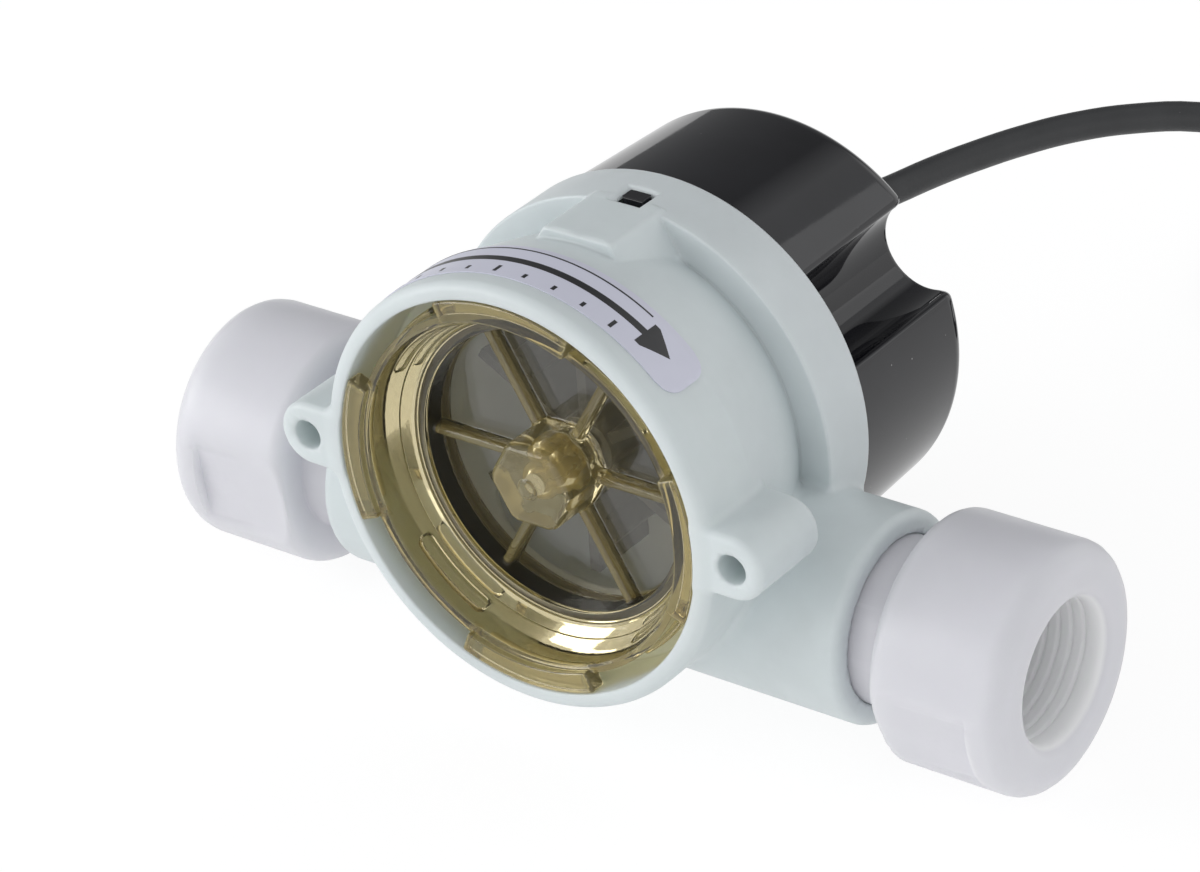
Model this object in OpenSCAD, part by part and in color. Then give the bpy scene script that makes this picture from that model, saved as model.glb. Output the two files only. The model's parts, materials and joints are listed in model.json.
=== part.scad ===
// Paddle wheel water flow sensor: a clear bayonet window in front, a six-vane rotor on a
// shaft behind it, two female pipe adapters, and a black cover with a cable at the back.
// Each module works in the sensor's own frame: X along the pipe, Y back along the rotor's
// axis from the front rim, Z up. placed() then stands the sensor on the floor.

/* [Body] */
// Radius of the opening at the front
opening_r = 27.1; // [26.5:0.1:28]
// Depth of that opening
opening_depth = 9.3; // [9:0.1:10]
// Wall around the opening
rim_wall = 2.35; // [1.85:0.05:3]
// Rounding of the rim's front edge
rim_round = 1.5; // [0.5:0.1:1.7]
// Length of the straight barrel that carries the label
barrel_len = 10.5; // [9:0.5:13]
// Drop of the barrel's radius from the rim to the waist
waist_drop = 4.65; // [3.5:0.05:5.4]
// Depth of the collar's front face
collar_y = 26.5; // [25.5:0.1:27.5]
// Length of the collar
collar_len = 8.9; // [8:0.1:11]
// Wall of the collar around the cover
collar_wall = 1.1; // [0.9:0.1:1.6]
// Thickness of the web that carries the collar
collar_web = 1.5; // [1.2:0.1:2]

/* [Rotor chamber] */
// Ledge behind the edge of the window
chamber_ledge = 0.8; // [0.4:0.1:1.2]
// Length of the chamber behind the window
chamber_len = 15.8; // [14.5:0.1:16.5]
// Wall behind the chamber
back_wall = 2.5; // [2:0.1:3]
// Wall of the bearing boss around the shaft
bearing_boss_wall = 2.5; // [1.5:0.1:3.5]
// Height of the bearing boss
bearing_boss_len = 1.8; // [1.2:0.1:2.4]

/* [Pipe ports] */
// Depth of the pipe axis behind the rim
port_y = 23.9; // [23.5:0.1:24.2]
// Drop of the pipe axis below the rotor axis
port_drop = 17.5; // [17:0.1:18]
// Wall of the port tube around a socket
port_wall = 2.95; // [2.5:0.05:3.3]
// Reach of a port tube from the middle
port_reach = 40.4; // [38:0.1:44]
// Chamfer at the end of a port tube
port_chamfer = 2; // [0.5:0.1:2.5]
// Radius of the water way
flow_r = 8; // [6:0.1:8]

/* [Adapters] */
// Wall of an adapter around its thread
adapter_wall = 7.08; // [6.5:0.01:8]
// Length of an adapter's head
adapter_len = 18.9; // [17:0.1:22]
// Wall of the neck and of the spigot around the water way
neck_wall = 3; // [2.6:0.1:3.4]
// Length of the neck that shows
neck_gap = 5.6; // [4:0.1:8]
// Length of the spigot in the port
spigot_len = 10.9; // [9:0.1:11]
// Radius of the tapped bore inside its thread
thread_r = 9.32; // [8.6:0.01:10]
// Length of the tapped bore
thread_len = 14; // [11:0.5:15]
// Chamfer at the mouth of the tapped bore
mouth_chamfer = 1.3; // [0.6:0.1:1.5]
// Rounding of the outer end of the head
head_round = 3; // [1:0.1:3.5]
// Chamfer of the inner end of the head
head_chamfer = 1.8; // [0.5:0.1:2.5]
// Depth of a wrench flat
flat_depth = 1.4; // [0.6:0.1:2.4]
// Length of the wrench flats
flat_len = 14; // [10:0.5:15]
// Turn of the outlet's wrench flats below the front
outlet_turn = 21; // [0:1:90]
// Turn of the inlet's wrench flats below the front
inlet_turn = 7; // [0:1:90]

/* [Mounting ears] */
// Distance from the middle to an ear's hole
ear_x = 32.7; // [32:0.1:35]
// Radius of an ear's boss
ear_r = 4.4; // [4:0.1:5]
// Radius of the screw hole
ear_hole_r = 2.05; // [1.6:0.05:2.4]
// Length of an ear along the hole
ear_len = 13; // [10:0.5:13.5]
// Half height of the web that joins an ear to the barrel
ear_web = 4.4; // [3.6:0.1:6]

/* [Top block] */
// Width of the block on top of the barrel
block_w = 10.6; // [8:0.1:14]
// Front of the block
block_y = 16.5; // [15:0.1:19]
// Spread of the block's flanks at their foot
block_spread = 4; // [2:0.1:5]
// Side of the latch window in the collar
latch_window = 3.7; // [3.2:0.1:4.4]
// Inset of the latch window behind the collar's front face
latch_inset = 0.4; // [0.2:0.1:0.6]

/* [Window lens] */
// Space between the cup and the opening, which the lugs cross
lug_reach = 2.35; // [2:0.05:2.6]
// Wall of the cup at its mouth
cup_wall = 1.25; // [1:0.05:1.5]
// Taper of the cup's inside from its mouth to its step
cup_taper = 1.5; // [1:0.1:1.8]
// Depth of the cup's front edge
cup_front = 1.2; // [0.8:0.1:1.6]
// Depth of the step
cup_step_y = 7.6; // [7:0.1:7.8]
// Width of the step
step_w = 2.4; // [2:0.1:2.8]
// Wall of the lower cup
well_wall = 1.4; // [1.2:0.1:1.6]
// Depth of the window's front face
window_y = 13.2; // [12.8:0.1:13.4]
// Thickness of the window
window_t = 1.4; // [1.2:0.1:1.8]
// Height of the ribs on the window
rib_h = 1.2; // [0.8:0.1:2]
// Width of a rib
rib_w = 1.4; // [1:0.1:2]
// Radius of the six-sided hub over its corners
hub_r = 6; // [5:0.1:7]
// Depth of the hub's front face
hub_y = 4; // [3:0.1:4.5]
// Thickness of a lug at the rim
lug_t = 2.6; // [2:0.1:2.8]
// Width of a lug around the rim in degrees
lug_angle = 45; // [38:1:48]
// Thickness of the locking tabs behind the lugs
lock_t = 2.2; // [1.6:0.1:2.6]
// Thickness of the body's own tabs
keeper_t = 1; // [0.8:0.1:1.2]
// Width of a tab in degrees
tab_angle = 36; // [30:1:40]
// Clearance between the lens and the body
lens_gap = 0.1; // [0.05:0.05:0.15]
// Depth of the seal groove
lens_groove_depth = 0.8; // [0.6:0.05:0.9]
// Width of the seal groove
lens_groove_w = 2; // [2:0.05:2.2]

/* [Rotor] */
// Space between the vane tips and the chamber
tip_gap = 1.8; // [1.2:0.1:2.6]
// Number of vanes
vanes = 6; // [4:1:8]
// Thickness of a vane
vane_t = 1.4; // [1:0.1:2]
// Wall of the rotor's hub around the bush
hub_wall = 1.6; // [1.2:0.1:2.2]
// Wall of the bush
bush_wall = 1.3; // [1:0.1:1.6]
// Radius of the shaft
shaft_r = 1.5; // [1.2:0.05:1.6]
// Running clearance between shaft and bush
bush_gap = 0.04; // [0.02:0.01:0.08]
// Play of the rotor along its shaft at each end
end_play = 0.2; // [0.1:0.05:0.3]
// Thickness of a thrust washer
washer_t = 0.5; // [0.4:0.1:0.6]
// Width of a thrust washer's ring
washer_w = 1.9; // [1.4:0.1:2.2]
// Distance of the magnets from the vane tips
magnet_inset = 4.9; // [3.5:0.1:6]
// Radius of a magnet
magnet_r = 1.5; // [1:0.1:1.8]
// Length of a magnet
magnet_len = 6; // [3:0.1:8]

/* [Rear cover] */
// Depth of the cover's rear face
cover_back = 61.3; // [56:0.1:70]
// Wall of the cover
cover_wall = 1.8; // [1.4:0.1:2]
// Step of the cover's radius behind the collar
cover_step = 0.5; // [0.2:0.1:0.8]
// Draft of the cover's radius from the collar to the back
cover_draft = 0.8; // [0:0.1:1.5]
// Rounding of the cover's rear edge
cover_round = 3.3; // [2:0.1:4]
// Radius of the channel along the cover
channel_r = 6.35; // [5.5:0.05:6.8]
// Depth of the channel's axis inside the cover
channel_inset = 1.96; // [1:0.01:3]
// Angle of the channel above the right-hand side
channel_angle = 31.2; // [28:0.1:36]
// Clearance between cover and body
cover_gap = 0.1; // [0.05:0.05:0.15]

/* [Electronics] */
// Thickness of the circuit board
board_t = 1.6; // [1:0.1:2]
// Height of the board's posts
post_len = 2.6; // [2.4:0.1:3.2]
// Half distance between the board's posts
post_x = 11; // [9:0.1:12]
// Height of the posts above the rotor's axis
post_z = 4; // [3:0.1:6]
// Radius of a board screw
screw_r = 0.9; // [0.7:0.05:1]
// Length of a board screw under its head
screw_len = 5.1; // [4:0.1:6]
// Space between the board and the cover's wall
board_gap = 1.2; // [0.8:0.1:2]
// Width of the magnet sensor
hall_w = 4; // [3:0.1:5]
// Height of the magnet sensor
hall_h = 3; // [2:0.1:4]
// Thickness of the magnet sensor
hall_t = 1.6; // [1:0.1:2.2]
// Width of the regulator
chip_w = 4.5; // [3:0.1:6]
// Height of the regulator
chip_h = 2.8; // [2:0.1:4]
// Thickness of the regulator
chip_t = 1.5; // [1:0.1:2]
// Radius of the capacitor
capacitor_r = 2.5; // [2:0.1:3.2]
// Length of the capacitor
capacitor_len = 6; // [4:0.1:8]
// Width of a resistor
resistor_w = 2.4; // [1.6:0.1:3]
// Height of a resistor
resistor_h = 1.4; // [0.8:0.1:1.6]
// Distance from one resistor to the next
resistor_pitch = 4; // [3.2:0.1:5]
// Inset of the parts from the board's round edge
parts_inset = 4.5; // [3:0.1:6]

/* [Label] */
// Front edge of the label
label_y = 3.3; // [2.5:0.1:4]
// Width of the label
label_w = 8.5; // [6:0.1:8.6]
// Angle of the label's right end
label_start = 40; // [35:1:50]
// Angle that the label goes around
label_sweep = 124; // [90:1:125]
// Thickness of the label
label_t = 0.12; // [0.1:0.01:0.2]

/* [Cable] */
// Diameter of the cable
cable_d = 4.2; // [3.8:0.1:4.2]
// Height of the cable's outlet above the rotor's axis
outlet_z = 7; // [6:0.1:9]
// Length of the strain relief behind the cover
relief_len = 8; // [6:0.1:10]
// Diameter of a conductor with its insulation
wire_d = 1.3; // [1:0.1:1.4]

/* [Hidden] */

fine = 96;
small = 32;
skin = 0.01;

rim_r = opening_r + rim_wall;
waist_r = rim_r - waist_drop;
cup_r = opening_r - lug_reach;
cup_mouth_r = cup_r - cup_wall;
cup_step_r = cup_mouth_r - cup_taper;
well_r = cup_step_r - step_w;
well_outer_r = well_r + well_wall;
lens_groove_r = well_outer_r - lens_groove_depth;
collar_r = rim_r;
collar_end = collar_y + collar_len;
collar_inner_r = collar_r - collar_wall;
web_end = collar_y + collar_web;
window_back = window_y + window_t;
chamber_r = well_outer_r - chamber_ledge;
chamber_y = window_back + lens_gap;
chamber_end = chamber_y + chamber_len;
body_back = chamber_end + back_wall;
seal_room = 1.2;
seal_bore_r = well_outer_r + seal_room;
waist_taper = 0.8;

cover_r = collar_inner_r - cover_gap;
cover_front = web_end + 0.4;
cover_side = cover_wall + channel_r;
channel_front = collar_end + 0.3;
channel_x = (cover_r - channel_inset) * cos(channel_angle);
channel_z = (cover_r - channel_inset) * sin(channel_angle);
post_end = body_back + post_len;
board_y = post_end;
board_back = board_y + board_t;
board_r = cover_r - cover_wall - board_gap;
parts_z = board_r - parts_inset;

neck_r = flow_r + neck_wall;
adapter_r = thread_r + adapter_wall;
flat_reach = adapter_r - flat_depth;
adapter_in = port_reach + neck_gap;
adapter_end = adapter_in + adapter_len;
spigot_in = port_reach - spigot_len;
socket_r = neck_r + 0.05;
port_r = socket_r + port_wall;
seal_groove_w = 1.8;
seal_groove_r = neck_r - 1.3;
seal_in = spigot_in + 3;

floor_drop = port_drop + adapter_r;
depth_middle = cover_back / 2;

bearing_boss_r = shaft_r + bearing_boss_wall;
bush_r = shaft_r + bush_wall;
rotor_hub_r = bush_r + hub_wall;
rotor_r = chamber_r - tip_gap;
washer_r = shaft_r + washer_w;
magnet_circle = rotor_r - magnet_inset;
bush_bore_r = shaft_r + bush_gap;
bush_y = window_back + washer_t + end_play;
bush_end = chamber_end - bearing_boss_len - washer_t - end_play;
bush_stand = 0.3;
rotor_y = bush_y + bush_stand;
rotor_end = bush_end - bush_stand;
vane_inset = 0.6;
shaft_front = hub_y + 2;
shaft_back = chamber_end + back_wall - 0.9;

cable_r = cable_d / 2;
cable_hole_r = cable_r + 0.05;
relief_neck_r = cable_r + 1.1;
relief_flange_r = relief_neck_r + 1.4;
relief_flange_t = 1.5;
cover_floor = cover_back - cover_wall;

// Hand-chosen route of the cable in the sensor's frame, from inside the cover to the coil
CABLE_ROUTE = [[0, 58, 7], [0, 64, 7], [0, 70, 6.8], [0.8, 77, 6.6], [2.4, 83, 6.4],
    [4.3, 90, 6.4], [6.8, 97, 6.4], [10, 104.2, 6.4], [14, 111.2, 6.3], [19.4, 117.8, 6],
    [26, 123.8, 5.2], [32.8, 128.4, 3.2], [39.4, 131.4, -0.4], [45.4, 133.2, -5.4],
    [51, 134.4, -11.2], [56.2, 135.8, -17.2], [61, 138.2, -22.6], [65.2, 142, -27.1],
    [68.4, 147.2, -30.2], [70, 153.4, -31.35], [70, 159.6, -31.45]];
// Middle of the coil on the floor
COIL_AT = [42.7, 159.6];

// Three turns lie side by side, and the cable's end lies on them in the inner groove
tie_t = 0.35;
coil_turn_r = 23.1;
coil_in_r = coil_turn_r - 1.5 * cable_d;
coil_out_r = coil_turn_r + 1.5 * cable_d;
coil_end_r = coil_turn_r - cable_d / 2;
coil_h = tie_t + cable_d * (1 + sqrt(3) / 2);

// Stand the sensor with its adapters on the floor, centred over the origin
module placed() {
    translate([0, -depth_middle, floor_drop])
        children();
}

// Turn a radius and depth outline about the rotor's axis
module turned_y(outline) {
    rotate([-90, 0, 0])
        rotate_extrude($fn = fine)
            polygon(outline);
}

// Turn a radius and length outline about a pipe's axis, side 1 is right and -1 is left
module turned_x(outline, side) {
    translate([0, port_y, -port_drop])
        rotate([0, 90 * side, 0])
            rotate_extrude($fn = fine)
                polygon(outline);
}

// A rod along Y from one depth to another
module rod_y(r, from, to, x = 0, z = 0, sides = fine) {
    translate([x, from, z])
        rotate([-90, 0, 0])
            cylinder(r = r, h = to - from, $fn = sides);
}

// A flat front-view outline made solid from one depth to another
module plate_y(from, to) {
    translate([0, to, 0])
        rotate([90, 0, 0])
            linear_extrude(to - from)
                children();
}

// A radius and depth outline turned part of the way around, centred on an angle
module swept_y(middle, width, outline) {
    rotate([0, -middle, 0])
        rotate([-90, 0, 0])
            rotate([0, 0, -width / 2])
                rotate_extrude(angle = width, $fn = fine)
                    polygon(outline);
}

// A ring sector in front view, centred on an angle
module sector_y(r_in, r_out, from, to, middle, width) {
    swept_y(middle, width, [[r_in, from], [r_out, from], [r_out, to], [r_in, to]]);
}

// A box between two corners
module block(low, high) {
    translate(low)
        cube(high - low);
}

// Points of a quarter round from angle a to angle b about a centre
function arc(centre, r, a, b, steps = 6) = [for (i = [0:steps])
    let (t = a + (b - a) * i / steps) centre + r * [cos(t), sin(t)]];

// Barrel outline behind its straight part: a taper that rounds over into the waist
function waist_curve(steps = 8) = [for (i = [1:steps])
    let (t = i / steps)
    [rim_r - waist_drop * (waist_taper * t + (1 - waist_taper) * pow(t, 6)),
        barrel_len + (collar_y - barrel_len) * t]];

// A tube swept along a route as one closed polyhedron
function unit(v) = v / norm(v);
function route_dir(route, i) =
    unit(route[min(i + 1, len(route) - 1)] - route[max(i - 1, 0)]);
function ring_at(route, i, r, sides) =
    let (d = route_dir(route, i), a = unit(cross(d, [0, 0.2, 1])), b = cross(d, a))
    [for (k = [0:sides - 1]) let (t = 360 * k / sides) route[i] + r * (a * cos(t) + b * sin(t))];
function ring_faces(rings, sides) = [for (i = [0:rings - 2]) for (k = [0:sides - 1])
    let (n = (k + 1) % sides)
    [i * sides + k, (i + 1) * sides + k, (i + 1) * sides + n, i * sides + n]];

module swept_tube(route, r, sides) {
    rings = len(route);
    points = [for (i = [0:rings - 1]) each ring_at(route, i, r, sides)];
    start_cap = [for (k = [0:sides - 1]) k];
    end_cap = [for (k = [0:sides - 1]) rings * sides - 1 - k];
    polyhedron(points, concat([start_cap], [end_cap], ring_faces(rings, sides)));
}

module barrel_solid() {
    turned_y(concat([[0, 0]],
        arc([rim_r - rim_round, rim_round], rim_round, -90, 0),
        [[rim_r, barrel_len]],
        waist_curve(),
        [[collar_r, collar_y], [collar_r, collar_end], [0, collar_end]]));
}

// Hollow between the collar and the chamber, closed in front by the collar's web
module collar_hollow() {
    turned_y([[waist_r, web_end], [collar_inner_r, web_end],
        [collar_inner_r, collar_end + 1], [0, collar_end + 1], [0, body_back],
        [waist_r, body_back]]);
}

// End of a port tube as radius and reach, softened by two chamfers
PORT_END = [[port_r, port_reach - port_chamfer],
    [port_r - port_chamfer / 2, port_reach - port_chamfer / 3],
    [port_r - port_chamfer, port_reach]];

module port_tube() {
    inlet_end = [for (i = [len(PORT_END) - 1:-1:0]) [PORT_END[i][0], -PORT_END[i][1]]];
    turned_x(concat([[0, -port_reach]], inlet_end, PORT_END, [[0, port_reach]]), 1);
}

// Water way through the port tube, with a socket for an adapter at each end
module water_way() {
    turned_x([[0, -port_reach - 1], [socket_r, -port_reach - 1], [socket_r, -spigot_in],
        [flow_r, -spigot_in], [flow_r, spigot_in], [socket_r, spigot_in],
        [socket_r, port_reach + 1], [0, port_reach + 1]], 1);
}

// Ear outline in front view: a round boss with a tangent web to the barrel
module ear_outline() {
    root = [opening_r, ear_web];
    reach = root - [ear_x, 0];
    touch = atan2(reach[1], reach[0]) - acos(ear_r / norm(reach));
    shoulder = [ear_x + ear_r * cos(touch), ear_r * sin(touch)];
    difference() {
        union() {
            translate([ear_x, 0])
                circle(r = ear_r, $fn = fine);
            polygon([[opening_r, -ear_web], [shoulder[0], -shoulder[1]], shoulder, root]);
        }
        translate([ear_x, 0])
            circle(r = ear_hole_r, $fn = fine);
    }
}

module ears() {
    plate_y(0, ear_len)
        ear_outline();
    mirror([1, 0, 0])
        plate_y(0, ear_len)
            ear_outline();
}

// Block on the barrel, level with the collar, with sloping flanks
module top_block() {
    half = block_w / 2;
    foot = waist_r - 2;
    plate_y(block_y, web_end)
        polygon([[-half - block_spread, foot], [half + block_spread, foot],
            [half, collar_r - 0.4], [half - 0.6, collar_r - 0.1], [0.6 - half, collar_r - 0.1],
            [-half, collar_r - 0.4]]);
}

module lens_opening() {
    turned_y([[0, -1], [opening_r, -1], [opening_r, opening_depth],
        [seal_bore_r, opening_depth], [seal_bore_r, chamber_y], [chamber_r, chamber_y],
        [chamber_r, chamber_end], [bearing_boss_r, chamber_end],
        [bearing_boss_r, chamber_end - bearing_boss_len], [0, chamber_end - bearing_boss_len]]);
}

// Tabs in the opening that hold the lens back
module keeper_tabs() {
    for (middle = [0:90:270])
        sector_y(cup_r + lens_gap, opening_r + 1, lug_t + lens_gap,
            lug_t + lens_gap + keeper_t, middle, tab_angle);
}

module latch_windows() {
    half = latch_window / 2;
    for (side = [-1, 1])
        scale([1, 1, side])
            block([-half, collar_y + latch_inset, cover_r - cover_wall - cover_gap],
                [half, collar_y + latch_inset + latch_window, collar_r + 1]);
}

module board_posts() {
    for (side = [-1, 1])
        rod_y(2.2, body_back - 0.5, post_end, side * post_x, post_z, small);
}

module body() {
    color([0.80, 0.83, 0.81])
        placed()
            difference() {
                union() {
                    difference() {
                        union() {
                            barrel_solid();
                            top_block();
                            ears();
                        }
                        collar_hollow();
                    }
                    port_tube();
                    board_posts();
                }
                difference() {
                    lens_opening();
                    keeper_tabs();
                }
                water_way();
                latch_windows();
                rod_y(shaft_r, chamber_end - bearing_boss_len - 1, shaft_back, sides = small);
                for (side = [-1, 1])
                    rod_y(screw_r, board_back - screw_len - 0.3, post_end + 1,
                        side * post_x, post_z, small);
            }
}

module lens_cup() {
    groove_front = opening_depth + 0.7;
    groove_back = groove_front + lens_groove_w;
    turned_y([[0, window_y], [well_r, window_y], [well_r, cup_step_y + 0.3],
        [well_r + 0.3, cup_step_y], [cup_step_r, cup_step_y], [cup_mouth_r, cup_front + 0.3],
        [cup_mouth_r + 0.3, cup_front], [cup_r, cup_front], [cup_r, opening_depth - lens_gap],
        [well_outer_r, opening_depth - lens_gap], [well_outer_r, groove_front],
        [lens_groove_r, groove_front], [lens_groove_r, groove_back],
        [well_outer_r, groove_back], [well_outer_r, window_back], [0, window_back]]);
}

// Lugs at the rim for turning the lens, and the locking tabs behind them
module lens_lugs() {
    lock_y = lug_t + keeper_t + 2 * lens_gap;
    for (middle = [0:90:270]) {
        sector_y(cup_mouth_r + 0.6, opening_r - lens_gap, 0, lug_t, middle, lug_angle);
        sector_y(cup_r - 0.5, opening_r - 0.4, lock_y, lock_y + lock_t, middle, tab_angle - 4);
        sector_y(cup_r - 0.5, cup_r + 0.7, lock_y + 0.4, lock_y + 0.4 + lock_t, middle + 45, 34);
    }
}

module lens_ribs() {
    for (turn = [0:60:300])
        rotate([0, turn, 0])
            block([hub_r - 1, window_y - rib_h, -rib_w / 2],
                [well_r + 0.3, window_y + skin, rib_w / 2]);
    plate_y(hub_y, window_y + skin)
        circle(r = hub_r, $fn = 6);
    rod_y(1.6, hub_y - 0.5, hub_y + 1, sides = small);
}

module lens() {
    color([0.55, 0.50, 0.32, 0.6])
        placed()
            difference() {
                union() {
                    lens_cup();
                    lens_lugs();
                    lens_ribs();
                }
                rod_y(shaft_r, shaft_front, window_back + 1, sides = small);
            }
}

// A round seal ring about the rotor's axis or a pipe's axis
module ring_profile(inner_r, outer_r, middle) {
    translate([(inner_r + outer_r) / 2, middle])
        circle(r = (outer_r - inner_r) / 2 - 0.02, $fn = small);
}

module lens_seal() {
    color([0.06, 0.06, 0.06])
        placed()
            rotate([-90, 0, 0])
                rotate_extrude($fn = fine)
                    ring_profile(lens_groove_r, seal_bore_r,
                        opening_depth + 0.7 + lens_groove_w / 2);
}

module magnet_spots(r, from, to) {
    for (i = [0:vanes - 1])
        let (t = 360 * (i + 0.5) / vanes)
        rod_y(r, from, to, magnet_circle * cos(t), magnet_circle * sin(t), small);
}

module rotor() {
    magnet_end = rotor_end - vane_inset;
    color([0.16, 0.17, 0.18])
        placed()
            difference() {
                union() {
                    rod_y(rotor_hub_r, rotor_y, rotor_end);
                    for (i = [0:vanes - 1])
                        rotate([0, -360 * (i + 0.5) / vanes, 0])
                            block([bush_r + 0.6, rotor_y + vane_inset, -vane_t / 2],
                                [rotor_r, magnet_end, vane_t / 2]);
                    magnet_spots(magnet_r + 0.8, rotor_y + vane_inset + 2, magnet_end);
                }
                rod_y(bush_r, rotor_y - 1, rotor_end + 1, sides = small);
                magnet_spots(magnet_r + 0.02, magnet_end - magnet_len, magnet_end + 1);
            }
}

module rotor_bush() {
    color([0.85, 0.83, 0.78])
        placed()
            difference() {
                rod_y(bush_r - 0.02, bush_y, bush_end, sides = small);
                rod_y(bush_bore_r, bush_y - 1, bush_end + 1, sides = small);
            }
}

module rotor_magnets() {
    magnet_end = rotor_end - vane_inset;
    color([0.35, 0.35, 0.37])
        placed()
            magnet_spots(magnet_r, magnet_end - magnet_len + 0.05, magnet_end - 0.1);
}

module rotor_shaft() {
    color([0.75, 0.76, 0.78])
        placed()
            rod_y(shaft_r - 0.01, shaft_front + 0.1, shaft_back - 0.1, sides = small);
}

module thrust_washer(from) {
    color([0.9, 0.9, 0.87])
        placed()
            difference() {
                rod_y(washer_r, from, from + washer_t, sides = small);
                rod_y(shaft_r + 0.03, from - 1, from + washer_t + 1, sides = small);
            }
}

module front_washer() {
    thrust_washer(window_back);
}

module rear_washer() {
    thrust_washer(chamber_end - bearing_boss_len - washer_t);
}

module adapter_outer(side) {
    turned_x(concat([[0, spigot_in + 0.1], [neck_r - 0.6, spigot_in + 0.1],
            [neck_r, spigot_in + 0.7], [neck_r, seal_in], [seal_groove_r, seal_in],
            [seal_groove_r, seal_in + seal_groove_w], [neck_r, seal_in + seal_groove_w],
            [neck_r, adapter_in], [adapter_r - head_chamfer, adapter_in],
            [adapter_r, adapter_in + head_chamfer]],
        arc([adapter_r - head_round, adapter_end - head_round], head_round, 0, 90),
        [[0, adapter_end]]), side);
}

// Two flats for a wrench, turned below the front by an angle
module wrench_flats(side, turn) {
    low = min(side * (adapter_in - 1), side * (adapter_in + flat_len));
    high = max(side * (adapter_in - 1), side * (adapter_in + flat_len));
    translate([0, port_y, -port_drop])
        rotate([turn, 0, 0])
            for (way = [-1, 1])
                scale([1, way, 1])
                    block([low, flat_reach, -adapter_r], [high, adapter_r + 1, adapter_r]);
}

module adapter(side, turn) {
    bore_in = adapter_end - mouth_chamfer - thread_len;
    color([0.86, 0.85, 0.88])
        placed()
            difference() {
                adapter_outer(side);
                wrench_flats(side, turn);
                turned_x([[0, spigot_in - 1], [flow_r, spigot_in - 1], [flow_r, bore_in],
                    [thread_r, bore_in], [thread_r, adapter_end - mouth_chamfer],
                    [thread_r + mouth_chamfer, adapter_end],
                    [thread_r + mouth_chamfer, adapter_end + 1], [0, adapter_end + 1]], side);
            }
}

module inlet_adapter() {
    adapter(-1, inlet_turn);
}

module outlet_adapter() {
    adapter(1, outlet_turn);
}

module port_seal(side) {
    color([0.06, 0.06, 0.06])
        placed()
            translate([0, port_y, -port_drop])
                rotate([0, 90 * side, 0])
                    rotate_extrude($fn = fine)
                        ring_profile(seal_groove_r, socket_r, seal_in + seal_groove_w / 2);
}

module inlet_seal() {
    port_seal(-1);
}

module outlet_seal() {
    port_seal(1);
}

// Outline of the cover with its wall taken off, inset 0 gives the outside
function cover_outline(inset, front) = let (shell_r = cover_r + cover_step)
    concat([[0, front], [cover_r - inset, front], [cover_r - inset, channel_front],
        [shell_r - inset, channel_front]],
        arc([shell_r - cover_draft - cover_round, cover_back - cover_round],
            cover_round - inset, 0, 90),
        [[0, cover_back - inset]]);

module rear_cover() {
    hook_half = latch_window / 2 - 0.25;
    color([0.03, 0.03, 0.035])
        placed()
            difference() {
                union() {
                    turned_y(cover_outline(0, cover_front));
                    for (side = [-1, 1])
                        scale([1, 1, side])
                            block([-hook_half, cover_front, cover_r - 1],
                                [hook_half, collar_y + latch_inset + latch_window - 0.2,
                                collar_r - 0.3]);
                }
                difference() {
                    turned_y(cover_outline(cover_wall, cover_front - 1));
                    rod_y(cover_side, channel_front - cover_wall, cover_back,
                        channel_x, channel_z);
                }
                rod_y(channel_r, channel_front, cover_back + 1, channel_x, channel_z);
                turned_x([[0, -adapter_end], [port_r + cover_gap, -adapter_end],
                    [port_r + cover_gap, adapter_end], [0, adapter_end]], 1);
                rod_y(relief_neck_r + 0.05, cover_floor - 1, cover_back + 1, 0, outlet_z, small);
            }
}

module circuit_board() {
    color([0.05, 0.30, 0.16])
        placed()
            plate_y(board_y, board_back)
                difference() {
                    intersection() {
                        circle(r = board_r, $fn = fine);
                        translate([-board_r, port_r - port_drop + board_gap])
                            square([2 * board_r, board_r]);
                    }
                    translate([channel_x, channel_z])
                        circle(r = cover_side + 0.5, $fn = fine);
                    for (side = [-1, 1])
                        translate([side * post_x, post_z])
                            circle(r = screw_r + 0.15, $fn = small);
                }
}

module board_screws() {
    color([0.7, 0.71, 0.73])
        placed()
            for (side = [-1, 1]) {
                rod_y(screw_r, board_back - screw_len, board_back + skin,
                    side * post_x, post_z, small);
                rod_y(screw_r * 2, board_back, board_back + screw_r, side * post_x, post_z,
                    small);
            }
}

module hall_sensor() {
    color([0.08, 0.08, 0.08])
        placed()
            block([-hall_w / 2, board_y - hall_t, magnet_circle - hall_h / 2],
                [hall_w / 2, board_y, magnet_circle + hall_h / 2]);
}

module regulator() {
    color([0.08, 0.08, 0.08])
        placed()
            block([-2 * chip_w, board_back, parts_z - 2 * chip_h],
                [-chip_w, board_back + chip_t, parts_z - chip_h]);
}

module capacitor() {
    color([0.12, 0.14, 0.30])
        placed()
            rod_y(capacitor_r, board_back, board_back + capacitor_len,
                -parts_z * 0.65, parts_z * 0.55, small);
}

module resistors() {
    color([0.25, 0.23, 0.20])
        placed()
            for (i = [-1:1])
                block([i * resistor_pitch - resistor_w / 2, board_back, parts_z - resistor_h],
                    [i * resistor_pitch + resistor_w / 2, board_back + 0.6, parts_z]);
}

// One conductor from its pad on the board into the cable, side -1, 0 or 1
function inner_route(side) = let (reach = CABLE_ROUTE[0][1] - board_back, pad = 2.3 * wire_d)
    [for (p = [[1, 0, 0], [1, 0.15, 0], [0.8, 0.35, 0.1], [0.5, 0.55, 0.3],
        [0.35, 0.72, 0.1], [0.32, 1, 0]])
        [side * pad * p[0], board_back + reach * p[1], outlet_z - wire_d / 2 + wire_d * p[2]]];

module inner_wires() {
    color([0.7, 0.2, 0.15])
        placed()
            for (side = [-1:1])
                swept_tube(inner_route(side), wire_d * 0.35, 8);
}

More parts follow.
